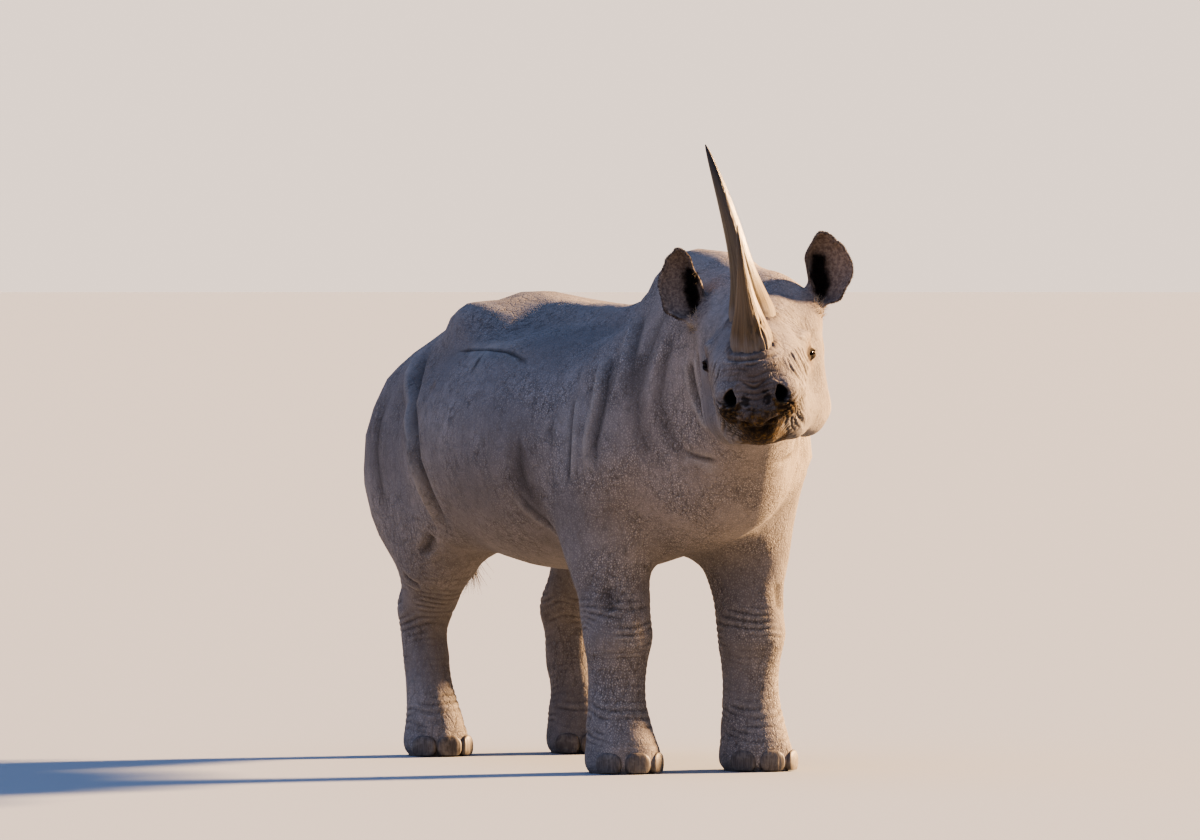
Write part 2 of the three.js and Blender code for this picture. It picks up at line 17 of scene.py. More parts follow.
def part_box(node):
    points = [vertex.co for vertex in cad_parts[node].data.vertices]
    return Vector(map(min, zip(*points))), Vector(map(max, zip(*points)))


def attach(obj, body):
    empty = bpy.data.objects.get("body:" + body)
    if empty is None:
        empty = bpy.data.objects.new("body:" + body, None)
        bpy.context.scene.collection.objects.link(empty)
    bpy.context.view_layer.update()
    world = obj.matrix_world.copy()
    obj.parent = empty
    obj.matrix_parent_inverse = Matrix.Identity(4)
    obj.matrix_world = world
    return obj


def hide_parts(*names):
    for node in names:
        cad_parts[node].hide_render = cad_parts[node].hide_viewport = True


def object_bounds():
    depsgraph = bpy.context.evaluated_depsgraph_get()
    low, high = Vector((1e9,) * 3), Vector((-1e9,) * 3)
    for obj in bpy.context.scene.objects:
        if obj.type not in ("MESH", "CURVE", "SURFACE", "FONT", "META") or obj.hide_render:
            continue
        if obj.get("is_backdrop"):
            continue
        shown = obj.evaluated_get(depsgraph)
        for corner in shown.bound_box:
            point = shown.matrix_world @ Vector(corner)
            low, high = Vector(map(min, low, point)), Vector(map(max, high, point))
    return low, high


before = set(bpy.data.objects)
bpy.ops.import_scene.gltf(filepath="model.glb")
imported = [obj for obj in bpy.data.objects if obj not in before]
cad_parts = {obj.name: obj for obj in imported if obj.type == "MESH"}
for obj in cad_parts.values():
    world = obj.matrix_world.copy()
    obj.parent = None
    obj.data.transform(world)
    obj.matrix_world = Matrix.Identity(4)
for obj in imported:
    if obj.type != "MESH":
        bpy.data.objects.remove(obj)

cad_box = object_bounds()
chance = np.random.default_rng(7)

# ---------------------------------------------------------------- sizes and places

MILLI = 0.001
LEGS = [f"leg_{end}_{side}" for end in ("front", "hind") for side in ("left", "right")]
TOENAILS = [name.replace("leg", "toenail") + f"_{n}" for name in LEGS for n in (1, 2, 3)]
EARS = ["ear_left", "ear_right"]
FLESH = ["trunk", "neck", "head", "tail", *LEGS, *EARS]
FORWARD, BACK = (0, -1, 0), (0, 1, 0)

SWELL = 1.5 * MILLI             # the parted solids are swollen by this, so that they join again
FORM_MESH = 14 * MILLI          # mesh width while the large masses are smoothed
HIDE_MESH = 5 * MILLI           # mesh width while the hide is shaped
HIDE_TRIANGLES = 194_000

SOFT_TRUNK = 40 * MILLI         # how far the form is evened out
SOFT_NECK = 28 * MILLI
SOFT_LEG = 21 * MILLI
SOFT_HEAD = 11 * MILLI


def middle(node):
    low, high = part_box(node)
    return (low + high) / 2


EYE_LEFT, EYE_RIGHT = middle("eye_left"), middle("eye_right")
EYES = (EYE_LEFT + EYE_RIGHT) / 2
EYE_SPAN = (EYE_LEFT - EYE_RIGHT).length
EYE_RADIUS = (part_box("eye_left")[1].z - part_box("eye_left")[0].z) / 2

# the head's own axes: to its left, to its back and up
HEAD_LEFT = (EYE_LEFT - EYE_RIGHT).normalized()
HEAD_BACK = Vector((-HEAD_LEFT.y, HEAD_LEFT.x, 0)).normalized()
HEAD_UP = HEAD_LEFT.cross(HEAD_BACK)
HEAD_AXES = np.array([HEAD_LEFT, HEAD_BACK, HEAD_UP]).T
HEAD_END = 0.36                 # the head's own features end so far behind the eyes

# ---------------------------------------------------------------- camera

IMAGE_WIDTH, IMAGE_HEIGHT = 1200, 840
DOT = 2.9 * MILLI               # what one image point covers at the head
EYES_ACROSS = 759               # the image column of the point between the eyes
HORIZON = 170                   # the image row of the horizon
CAMERA_TURN = math.radians(-24)
CAMERA_AWAY = 40.0
CAMERA_HEIGHT = 1.78
SENSOR = 36                     # in millimetres, as the lens is

to_right = Vector((math.cos(CAMERA_TURN), math.sin(CAMERA_TURN), 0))
to_camera = Vector((math.sin(CAMERA_TURN), -math.cos(CAMERA_TURN), 0))
camera_place = EYES - to_right * (EYES_ACROSS - IMAGE_WIDTH / 2) * DOT + to_camera * CAMERA_AWAY
camera_place.z = CAMERA_HEIGHT
camera_pitch = math.atan((IMAGE_HEIGHT / 2 - HORIZON) * DOT / CAMERA_AWAY)

camera_data = bpy.data.cameras.new("camera")
camera_data.sensor_width = SENSOR
camera_data.lens = SENSOR * CAMERA_AWAY / (DOT * IMAGE_WIDTH)
camera_data.clip_end = 10 * CAMERA_AWAY
camera = bpy.data.objects.new("camera", camera_data)
camera.location = camera_place
camera.rotation_euler = (math.pi / 2 - camera_pitch, 0, CAMERA_TURN)
bpy.context.scene.collection.objects.link(camera)
bpy.context.scene.camera = camera
bpy.context.scene.view_settings.look = "AgX - High Contrast"

# ---------------------------------------------------------------- mesh helpers


def add_object(name, mesh):
    made = bpy.data.objects.new(name, mesh)
    bpy.context.scene.collection.objects.link(made)
    return made


def as_mesh(name, shape):
    """The shape as a mesh; the shape itself is freed."""
    made = bpy.data.meshes.new(name)
    shape.to_mesh(made)
    shape.free()
    return made


def joined(*meshes):
    whole = bmesh.new()
    for mesh in meshes:
        whole.from_mesh(mesh)
    return as_mesh("joined", whole)


def solids(*nodes, swell=0.0):
    """One mesh of the named solids, their loose triangles merged and their faces pushed out."""
    parts = []
    for node in nodes:
        part = bmesh.new()
        part.from_mesh(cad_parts[node].data)
        bmesh.ops.remove_doubles(part, verts=part.verts, dist=0.01 * MILLI)
        part.normal_update()
        for vert in part.verts:
            vert.co += vert.normal * swell
        parts.append(as_mesh(node, part))
    return joined(*parts)


def modified(mesh, kind, weights=None, **settings):
    """The mesh that a modifier makes of this one."""
    holder = add_object("holder", mesh)
    modifier = holder.modifiers.new("shape", kind)
    for name, value in settings.items():
        setattr(modifier, name, value)
    if weights is not None:
        group = holder.vertex_groups.new(name="weights")
        levels = np.round(weights, 2)
        for level in np.unique(levels):
            group.add(np.flatnonzero(levels == level).tolist(), float(level), "REPLACE")
        modifier.vertex_group = group.name
    graph = bpy.context.evaluated_depsgraph_get()
    made = bpy.data.meshes.new_from_object(holder.evaluated_get(graph), depsgraph=graph)
    bpy.data.objects.remove(holder)
    return made


def values_of(items, name, width=1, kind=np.float32):
    values = np.empty(len(items) * width, kind)
    items.foreach_get(name, values)
    return values.reshape(-1, width) if width > 1 else values


def add_layers(mesh, **layers):
    """Gives the mesh's points named values, or directions, for its finish to read."""
    for name, values in layers.items():
        kind, field = ("FLOAT", "value") if values.ndim == 1 else ("FLOAT_VECTOR", "vector")
        layer = mesh.attributes.new(name, kind, "POINT")
        layer.data.foreach_set(field, values.astype(np.float32).ravel())


def piece(name, mesh, material):
    mesh.shade_smooth()
    mesh.materials.append(material)
    return add_object(name, mesh)


class Clay:
    """A mesh's points as arrays, for shaping and smoothing."""

    def __init__(self, mesh):
        self.mesh = mesh
        self.points = values_of(mesh.vertices, "co", 3).astype(float)
        self.edges = values_of(mesh.edges, "vertices", 2, np.int32)
        self.valence = np.bincount(self.edges.ravel(), minlength=len(self.points))

    def around(self, values):
        """For each point, the mean of the values at its neighbours."""
        start, end = self.edges.T
        count = len(self.points)
        columns = [
            np.bincount(start, column[end], count) + np.bincount(end, column[start], count)
            for column in values.reshape(count, -1).T]
        return (np.stack(columns, 1) / self.valence[:, None]).reshape(values.shape)

    def evened(self, values, rounds, share=0.5):
        for _ in range(rounds):
            values = values + (self.around(values) - values) * share
        return values

    def smooth(self, rounds, share=0.5, keep_volume=False):
        """Evens the surface out; share may differ from point to point."""
        smoothed = self.evened(self.points, rounds, share)
        if keep_volume:
            smoothed += self.evened(self.points - smoothed, rounds, share)
        self.points = smoothed

    def normals(self):
        self.store()
        return values_of(self.mesh.vertex_normals, "vector", 3).astype(float)

    def store(self):
        self.mesh.vertices.foreach_set("co", self.points.astype(np.float32).ravel())
        self.mesh.update()

    def push(self, heights):
        """Moves each point out along its normal, or in where the height is negative."""
        self.points += self.normals() * heights[:, None]


def step(low, high, values):
    """0 below low, 1 above high and smooth between; low may be the larger."""
    share = np.clip((values - low) / (high - low), 0, 1)
    return share * share * (3 - 2 * share)


def bell(distance, width):
    return np.exp(-(distance / width) ** 2)


def noise(points, size, seed=0):
    """Smooth random values from -1 to 1 that change over the given size."""
    place = points / size + 31.7 * (seed + 1)
    cell = np.floor(place).astype(np.int64)
    part = place - cell
    part = part * part * (3 - 2 * part)
    total = np.zeros(len(points))
    for corner in itertools.product((0, 1), repeat=3):
        key = (cell + corner) @ np.array([73856093, 19349663, 83492791])
        key = ((key ^ (key >> 13)) * 1274126177) & 0x7FFFFFFF
        value = ((key ^ (key >> 15)) & 0xFFFF) / 32767.5 - 1
        weight = np.prod(np.where(corner, part, 1 - part), axis=1)
        total += value * weight
    return total


def unit(ways):
    """Each way as a direction of length 1; a single way or one to a row."""
    length = np.linalg.norm(ways, axis=1)[:, None] if ways.ndim > 1 else np.linalg.norm(ways)
    return ways / length


def to_head(points):
    return (points - np.array(EYES)) @ HEAD_AXES


def from_head(points):
    return np.asarray(points) @ HEAD_AXES.T + np.array(EYES)


def path_through(stations, count):
    """Evenly spaced points on a smooth curve through the stations."""
    stations = np.asarray(stations, float)
    ends = np.vstack([2 * stations[0] - stations[1], stations, 2 * stations[-1] - stations[-2]])
    where = np.linspace(0, len(stations) - 1, count)
    piece = np.minimum(where.astype(int), len(stations) - 2)
    t = (where - piece)[:, None]
    a, b, c, d = (ends[piece + n] for n in range(4))
    return 0.5 * (2 * b + (c - a) * t + (2 * a - 5 * b + 4 * c - d) * t ** 2
                  + (3 * b - 3 * c + d - a) * t ** 3)


def beside(points, path):
    """For each point: its distance to a path, how far along it is, from 0 to 1, and the offset."""
    nearest = np.full(len(points), np.inf)
    along = np.zeros(len(points))
    offset = np.zeros((len(points), 3))
    count = len(path) - 1
    for n in range(count):
        run = path[n + 1] - path[n]
        t = np.clip((points - path[n]) @ run / (run @ run), 0, 1)
        away = points - path[n] - t[:, None] * run
        distance = np.einsum("ij,ij->i", away, away)
        closer = distance < nearest
        nearest[closer] = distance[closer]
        along[closer] = (n + t[closer]) / count
        offset[closer] = away[closer]
    return np.sqrt(nearest), along, offset


# ---------------------------------------------------------------- the form under the hide


def body_form():
    """The trunk, neck, head and legs as one smooth closed surface."""
    blocks = solids("trunk", "neck", "head", *LEGS, swell=SWELL)
    clay = Clay(modified(blocks, "REMESH", mode="VOXEL", voxel_size=FORM_MESH))
    head = to_head(clay.points)
    softness = np.full(len(clay.points), SOFT_TRUNK)
    softness += (SOFT_NECK - softness) * step(-0.35, -0.6, clay.points[:, 1])
    softness += (SOFT_LEG - softness) * step(0.72, 0.5, clay.points[:, 2])
    softness += (SOFT_HEAD - softness) * step(0.36, 0.2, head[:, 1])
    rounds = math.ceil(4 * (SOFT_TRUNK / FORM_MESH) ** 2)
    clay.smooth(rounds, 0.5 * (softness / SOFT_TRUNK)[:, None] ** 2, keep_volume=True)
    clay.push(np.full(len(clay.points), -SWELL))
    clay.store()
    return clay.mesh


def thin_parts():
    """The ears and the tail, rounded."""
    return modified(solids(*EARS, "tail"), "SUBSURF", levels=2, render_levels=2)


def finer(mesh, wanted):
    """Parts the mesh's edges in two wherever both of their points are wanted."""
    chosen = wanted(values_of(mesh.vertices, "co", 3).astype(float))
    pairs = values_of(mesh.edges, "vertices", 2, np.int32)
    parted = np.flatnonzero(chosen[pairs].all(axis=1))
    whole = bmesh.new()
    whole.from_mesh(mesh)
    whole.edges.ensure_lookup_table()
    bmesh.ops.subdivide_edges(
        whole, edges=[whole.edges[n] for n in parted], cuts=1, use_grid_fill=True)
    whole.to_mesh(mesh)
    whole.free()


def within(places, reach):
    """Chooses the points that lie within reach of any of the places, both in the head's axes."""
    def chosen(points):
        head = to_head(points)
        return np.any([np.linalg.norm(head - place, axis=1) < reach for place in places], axis=0)
    return chosen


def on_face(points):
    head = to_head(points)
    return (head[:, 1] < -0.1) & (head[:, 2] > -0.29) | within(EYE_PLACES, 0.075)(points)


def both(place):
    """A place of the head's left side and its mirror image."""
    return [np.array(place) * MILLI * (side, 1, 1) for side in (1, -1)]


EYE_PLACES = both((EYE_SPAN / 2 / MILLI, 0, 0))
NOSTRIL_PLACES = both((76, -347, -99))

whole_form = joined(body_form(), thin_parts())
hide = Clay(modified(whole_form, "REMESH", mode="VOXEL", voxel_size=HIDE_MESH))
hide.smooth(3)
hide.store()
finer(hide.mesh, on_face)
finer(hide.mesh, within(EYE_PLACES + NOSTRIL_PLACES, 0.042))
hide = Clay(hide.mesh)
hide.smooth(2)

# ---------------------------------------------------------------- folds and features

# colour marks painted into the hide: the hollow mark and the shade mark are painted shade in
# furrows, creases, round the eyes, in the ear cups, on the front of the nose and round the horns;
# the dark mark is painted shade in openings and creases; the mud mark is mud, and painted shade
# below the nostrils; smooth marks bare skin without pebbles
MARKS = ("hollow", "mud_and_shade", "dark", "smooth", "painted_shade")


def rows(phase, width=0.17):
    """Narrow furrows, one at each whole number of the phase."""
    return bell(phase - np.round(phase), width)


def falloff(points, place, size):
    """1 at the place, less and less round it; the size is in millimetres along each axis."""
    return np.exp(-(((points - place) / (np.array(size) * MILLI)) ** 2).sum(axis=1))


class Relief:
    """Heights and stains that are laid on the hide, gathered over one set of points. Widths,
    heights and depths are in millimetres, and a height below zero is a hollow."""

    def __init__(self, points):
        self.points = points
        self.heights = np.zeros(len(points))
        self.marks = {name: np.zeros(len(points)) for name in MARKS}

    def near(self, path, reach):
        low, high = path.min(axis=0) - reach, path.max(axis=0) + reach
        return np.flatnonzero(np.all((self.points > low) & (self.points < high), axis=1))

    def stain(self, name, values, picked=slice(None)):
        self.marks[name][picked] = np.maximum(self.marks[name][picked], values)

    def furrow(self, path, width, depth, roll=0.4, toward=None, fade=0.2, dark=0.0):
        """A furrow with a roll of skin beside it, which may lie toward one direction."""
        width, depth = width * MILLI, depth * MILLI
        picked = self.near(path, 5 * width)
        distance, along, offset = beside(self.points[picked], path)
        ends = step(0, fade, np.minimum(along, 1 - along))
        cut = bell(distance, width)
        rolls = bell(distance - 2.2 * width, 1.2 * width)
        if toward is not None:
            rolls = rolls * (1 + offset @ np.array(toward, float) / np.maximum(distance, 1e-5))
        self.heights[picked] += ends * depth * (roll * rolls - cut)
        # painted shade: the furrow's bottom is marked to be painted darker; the dark share darkens
        # it further
        self.stain("hollow", ends * cut * min(1, depth / (6 * MILLI)), picked)
        self.stain("dark", ends * cut * dark, picked)

    def ridge(self, path, width, height):
        picked = self.near(path, 3 * width * MILLI)
        distance, along, _ = beside(self.points[picked], path)
        ends = step(-0.01, 0.3, np.minimum(along, 1 - along))
        self.heights[picked] += ends * bell(distance, width * MILLI) * height * MILLI

    def mound(self, place, size, height):
        self.heights += height * MILLI * falloff(self.points, place, size)


def across_head(stations, count):
    """A path of the head that crosses its middle: the left half is given, the right mirrors it."""
    left = np.array(stations, float) * MILLI
    return path_through(np.vstack([left[:0:-1] * (-1, 1, 1), left]), count)


def beside_head(stations, count=20):
    """The same path on the left and on the right side of the head."""
    left = path_through(np.array(stations, float) * MILLI, count)
    return [left, left * (-1, 1, 1)]


# the lids: a dome over the eyeball with an almond-shaped opening, its two corners level
LID_THICKNESS = 4 * MILLI
EYE_TURN = math.radians(38)     # how far each eye is turned forward from straight out
EYE_AXIS = np.array([math.cos(EYE_TURN), -math.sin(EYE_TURN), 0.03])
EYE_HALF_LENGTH = 21 * MILLI
UPPER_LID, LOWER_LID = 9.5 * MILLI, 7 * MILLI
SQUINT = {1: 0.66, -1: 1.0}     # how open the eyes are; the left one is narrowed, as in low sun
FEATURE_REACH = 70 * MILLI      # how far the lids and the nostrils move the hide


def eye_axes(side):
    """Out along the eye's axis, then forward and up across it."""
    axis = unit(EYE_AXIS) * (side, 1, 1)
    front = unit(np.cross(axis, (0, 0, side)))
    return axis, front, np.cross(front, axis) * side


def lids(head, relief, side):
    """Raises the lids over one eyeball and opens them; returns the moved points."""
    centre = EYE_PLACES[0] * (side, 1, 1)
    axis, front, up = eye_axes(side)
    picked = np.flatnonzero(np.linalg.norm(head - centre, axis=1) < FEATURE_REACH)
    away = head[picked] - centre
    out, u, v = away @ axis, away @ front, away @ up
    picked, out, u, v = (a[out > -0.01] for a in (picked, out, u, v))
    radius = np.hypot(u, v)

    dome = np.sqrt(np.maximum((EYE_RADIUS + LID_THICKNESS) ** 2 - radius ** 2, 0))
    softness = 7 * MILLI
    blend = np.clip(0.5 + 0.5 * (dome - out) / softness, 0, 1)
    lid = out + (dome - out) * blend + softness * blend * (1 - blend)
    lid = np.where(radius < EYE_RADIUS + LID_THICKNESS, np.maximum(lid, out), out)

    # 1 on the opening's edge, 0 in its middle; its front corner lies a little lower
    level = v + 0.12 * u
    arch = np.maximum(1 - (u / EYE_HALF_LENGTH) ** 2, 0.04)
    opening = np.abs(level) / (np.where(level > 0, UPPER_LID, LOWER_LID) * arch * SQUINT[side])
    opening = np.where(np.abs(u) < EYE_HALF_LENGTH, opening, 9)
    # folds that run round the opening: the lid's own edge, one deep fold and fine ones outside it
    ring = np.hypot(u / (EYE_HALF_LENGTH + 3 * MILLI), level / (UPPER_LID + 3 * MILLI))
    lid += 2.4 * MILLI * bell(ring - 1.0, 0.24)
    lid -= 4.0 * MILLI * bell(ring - 1.62, 0.18) * step(-0.3, 0.4, level / radius)
    lid -= 3.0 * MILLI * bell(ring - 1.55, 0.15) * step(0.2, -0.4, level / radius)
    fine = rows(ring * 2.1 + 0.3 * noise(head[picked], 0.02, 3), 0.14)
    lid -= 1.4 * MILLI * fine * step(1.9, 2.3, ring) * step(4.2, 2.9, ring)
    socket = step(1.08, 0.72, opening)
    lid -= socket * (LID_THICKNESS + 6 * MILLI)
    moved = head.copy()
    moved[picked] += (lid - out)[:, None] * axis
    # painted shade: the opening and a ring round it are painted dark, the deep fold darker, and
    # the lids round the eye darker too
    relief.stain("dark", np.maximum(socket, 0.9 * step(1.6, 0.95, ring)), picked)
    relief.stain("hollow", 0.8 * bell(ring - 1.6, 0.2), picked)
    relief.stain("painted_shade", 0.7 * step(3.4, 1.2, ring), picked)

    # the tear line that runs down from the front corner
    corner = centre + axis * EYE_RADIUS + front * EYE_HALF_LENGTH
    tear = [corner, corner + front * 0.006 - up * 0.012, corner + front * 0.008 - up * 0.03]
    relief.furrow(path_through(tear, 8), 4, 3, dark=0.9, fade=0.4)
    return moved


def nostril(head, relief, side):
    """A deep opening that narrows to a slit on top, with a thick rim; returns the moved points."""
    place = NOSTRIL_PLACES[0] * (side, 1, 1)
    inward = unit(np.array([-0.3 * side, 0.93, 0.2]))
    across = unit(np.cross((0, 0, -side), inward))
    up = np.cross(across, inward) * side
    up *= np.sign(up[2])
    picked = np.flatnonzero(np.linalg.norm(head - place, axis=1) < FEATURE_REACH)
    away = head[picked] - place
    u, v = away @ across, away @ up
    # across leads away from the middle; the upper end bends over toward the middle
    bent = u + 0.35 * np.maximum(v, 0) ** 2 / 0.02 - 0.12 * v
    half_width = np.where(v > 0, 20 - 7 * np.clip(v / 0.028, 0, 1), 20) * MILLI
    half_height = 27 * MILLI
    ring = np.hypot(bent / half_width, v / half_height)
    depth = 40 * MILLI * step(1.05, 0.4, ring)
    rim = 4.5 * MILLI * bell(ring - 1.22, 0.22) * (1 - 0.35 * np.clip(bent / half_width, -1, 1))
    moved = head.copy()
    moved[picked] += depth[:, None] * inward
    moved[picked] -= rim[:, None] * inward
    # painted shade: the opening and the slit over it are painted dark for their depth
    relief.stain("dark", step(1.12, 0.8, ring), picked)
    # the skin below the nostril's rim is painted brown as painted shade
    relief.stain("mud_and_shade", 0.6 * bell(ring - 1.35, 0.3) * step(0.0, -0.8, v / half_height), picked)
    slit = [place - across * 0.004 + up * 0.024, place - across * 0.016 + up * 0.028]
    relief.furrow(path_through(slit, 6), 3.5, 4, dark=1.0, fade=0.4)
    return moved


# Places on the left side of the head, in millimetres to the left, back and up from the point
# between the eyes; each is mirrored on the right side. Widths, heights and depths are in
# millimetres too, and a height below zero is a hollow.

# place, reach along each axis and height
FACE_MOUNDS = (
    ((150, 95, -95), (50, 75, 70), 2),                  # cheek
    ((120, -120, -80), (50, 70, 50), -7),               # before the cheek
    ((125, 75, 75), (50, 50, 35), -7),                  # temple
    ((62, -335, -45), (30, 50, 20), -4),                # over the nostril
    ((95, -320, -135), (35, 50, 30), 5),                # pad of the upper lip
    ((190, 85, -105), (50, 100, 100), -10),             # lower cheek
    ((44, -178, 62), (26, 45, 30), 9),                  # beside the foot of the front horn
)
LIP_POINT = ((0, -378, -168), (24, 30, 24), 8)
LEFT_JAW_HOLLOW = ((205, 240, -60), (40, 70, 140), -9)

# width, height and course
FACE_RIDGES = (
    (17, 11, ((104, -95, 30), (134, -50, 52), (146, 5, 56), (146, 60, 44))),            # brow
    (9, -4, ((118, -70, 8), (140, -32, 22), (150, 0, 27), (150, 34, 20))),              # below it
    (18, 5, ((128, -80, -38), (156, -10, -44), (165, 70, -30), (165, 150, 0))),         # cheekbone
    (13, 7, ((70, -60, 128), (92, -20, 122), (112, 10, 104), (132, 20, 78))),           # forehead
    (22, 3, ((88, -230, -222), (104, -110, -226), (120, 10, -225), (128, 110, -215))),  # jaw
    (26, 10, ((58, -262, -226), (84, -180, -234), (106, -90, -238), (122, 10, -232))),  # under it
)

# width, depth, the furrow's ways, how many points carry it and its course; the upper lip comes to
# a point over a gap painted dark as painted shade, which narrows toward the corners, and two
# furrows cross the nose
FURROWS_ACROSS = (
    (8, 12, dict(roll=0.3, fade=0.3, dark=0.95), 34,
     ((0, -374, -194), (20, -366, -187), (44, -352, -174), (72, -328, -162), (98, -298, -152))),
    (13, 15, dict(roll=0, fade=0.35, dark=0.9), 16,
     ((0, -352, -203), (30, -342, -195), (56, -326, -184))),
    (4.5, 5, dict(fade=0.15), 24, ((0, -345, 4), (30, -340, 5), (56, -322, 9), (84, -275, 18))),
    (3.5, 4, dict(fade=0.15), 24,
     ((0, -360, -76), (14, -359, -71), (27, -357, -62), (40, -352, -56))),
)
# from the corner of the mouth back, and the rolls of skin behind the cheek and under the jaw; the
# one from the corner is painted dark along it as painted shade
FURROWS_BESIDE = (
    (6, 5, dict(fade=0.3, dark=0.3),
     ((98, -298, -152), (110, -240, -168), (112, -180, -186), (112, -130, -206))),
    (5, 5, {}, ((112, -148, -158), (120, -125, -172), (122, -105, -196))),
    (13, 13, dict(roll=0.35, toward=BACK),
     ((188, 205, 55), (196, 205, -10), (196, 190, -75), (182, 160, -135), (150, 120, -190))),
    (12, 9, dict(roll=0.4, toward=BACK),
     ((205, 290, 30), (216, 292, -20), (214, 290, -80), (196, 262, -140), (160, 225, -200))),
)
# curved creases in front of and below each eye, painted dark along their bottoms as painted shade
EYE_CREASES = (
    ((130, -115, 28), (136, -115, 4), (141, -90, -14), (147, -55, -28)),
    ((124, -165, 32), (131, -160, 0), (136, -130, -24), (142, -85, -42), (148, -40, -48)),
    ((118, -212, 32), (125, -205, 2), (131, -172, -28), (138, -115, -52), (145, -55, -64)),
    ((108, -250, 22), (116, -245, -14), (124, -215, -46), (133, -150, -74), (142, -80, -88)),
    ((98, -282, 8), (107, -285, -28), (116, -262, -62), (126, -200, -92), (138, -120, -112)),
)
# place, reach and strength of the mud on the lips and the chin and of its splashes
MUD = (
    ((0, -350, -205), (90, 70, 34), 1.0), ((0, -250, -230), (90, 90, 26), 0.8),
    ((80, -320, -150), (34, 60, 26), 0.75), ((60, -330, -128), (20, 40, 12), 0.9),
    ((20, -365, -152), (50, 40, 22), 0.4),
)


def shape_head(head, facing, relief):
    """The planes, furrows and stains of the head. Facing tells how far each point faces back."""
    x, y, z = head.T
    outer = np.abs(x)
    wander = noise(head, 0.05, 1)

    for place, size, height in FACE_MOUNDS:
        for point in both(place):
            relief.mound(point, size, height)
    for place, size, height in (LIP_POINT, LEFT_JAW_HOLLOW):
        relief.mound(np.array(place) * MILLI, size, height)
    for width, height, stations in FACE_RIDGES:
        for path in beside_head(stations):
            relief.ridge(path, width, height)
    for width, depth, ways, count, stations in FURROWS_ACROSS:
        relief.furrow(across_head(stations, count), width, depth, **ways)
    for width, depth, ways, stations in FURROWS_BESIDE:
        for path in beside_head(stations):
            relief.furrow(path, width, depth, **ways)
    for stations in EYE_CREASES:
        for path in beside_head(stations, count=14):
            path = path + 0.003 * np.stack([noise(path, 0.04, n) for n in (40, 41, 42)], 1)
            relief.furrow(path, 5, 5, roll=0.6, fade=0.14, dark=0.45)

    # the shade in the corners of the gap, and the mud
    for point in both((26, -346, -199)):
        spot = falloff(head, point, (45, 50, 17))
        relief.stain("dark", np.clip(0.95 * spot + 0.4 * noise(head, 0.012, 19) * spot, 0, 1))
    for place, size, share in MUD:
        for point in both(place):
            relief.stain("mud_and_shade", share * np.clip(1.5 * falloff(head, point, size), 0, 1))

    # wrinkles across the nose, which sag in the middle and are painted darker in their lines as
    # painted shade
    nose = bell(x, 0.062) ** 0.6 * step(-0.28, -0.32, y) * step(-0.16, -0.13, z)
    nose *= step(0.03, 0.0, z)
    lines = rows((z + 0.012 * bell(x, 0.032) + 0.0035 * wander) / 0.0165)
    broken = step(-0.55, 0.15, noise(head * (1, 1, 3), 0.035, 2))
    relief.heights -= 2.6 * MILLI * nose * lines * broken
    relief.stain("hollow", 0.75 * nose * lines * broken)

    # dark wrinkled patches beside the middle of the upper lip
    for point in both((34, -363, -110)):
        spot = falloff(head, point, (17, 30, 26))
        patch = step(0.45, 0.8, spot + 0.5 * noise(head * (1, 1, 1.6), 0.0085, 17))
        patch *= step(0.1, 0.3, spot)
        relief.stain("dark", 0.75 * patch)
        relief.heights -= 2.5 * MILLI * patch * (0.6 + 0.4 * noise(head, 0.006, 18))

    # crossing wrinkles on the sides of the muzzle and the lips, painted dark in their lines as
    # painted shade
    muzzle = step(-0.14, -0.24, y) * step(0.045, 0.075, outer) * step(-0.245, -0.22, z)
    muzzle *= step(-0.085, -0.12, z)
    first = z + 0.5 * y + 0.012 * wander + 0.005 * noise(head, 0.018, 43)
    second = z - 0.7 * y + 0.013 * noise(head, 0.045, 5) + 0.005 * noise(head, 0.017, 44)
    cross = np.maximum(rows(first / 0.0155, 0.22) * step(-0.75, -0.1, noise(head, 0.028, 6)),
                       rows(second / 0.0185, 0.22) * step(-0.75, -0.1, noise(head, 0.035, 45)))
    relief.heights -= 4.2 * MILLI * muzzle * cross
    relief.stain("hollow", muzzle * cross)
    relief.stain("dark", 0.75 * muzzle * cross)
    # the front of the nose under the horn is painted darker as painted shade
    front = bell(x, 0.085) * step(-0.26, -0.31, y) * step(0.02, -0.02, z)
    relief.stain("painted_shade", 0.9 * front * (1 + 0.4 * wander))

    # fine lines that fan out over the brow
    angle, away = np.arctan2(z, y - 0.02), np.hypot(y, z)
    brow = step(0.045, 0.065, away) * step(0.15, 0.11, away) * step(0.02, 0.04, z)
    brow *= step(0.07, 0.1, outer)
    relief.heights -= 1.6 * MILLI * brow * rows(angle * 5.2 + 0.35 * wander, 0.2)

    # the dark hairy mouth of each ear, on the side of the cup that faces forward: the canal is
    # painted near black as painted shade of its depth, and the cup round it darker as painted
    # shade
    canal = np.hypot((outer - 0.188) / 0.022, (z - 0.224) / 0.066) + 0.3 * noise(head, 0.012, 10)
    in_cup = step(0.16, 0.2, y) * step(0.2, -0.1, facing)
    relief.stain("dark", 0.98 * step(1.15, 0.9, canal) * in_cup)
    relief.stain("painted_shade", 0.4 * step(3.2, 0.9, canal) * in_cup)

    # the ears and the skin round the eyes have no pebbles
    ears = 0.85 * step(0.125, 0.145, outer) * step(0.15, 0.18, y) * step(0.12, 0.15, z)
    from_eye = np.linalg.norm(np.stack([outer, y, z], 1) - EYE_PLACES[0], axis=1)
    relief.stain("smooth", np.maximum(ears, 0.8 * step(0.075, 0.035, from_eye)))


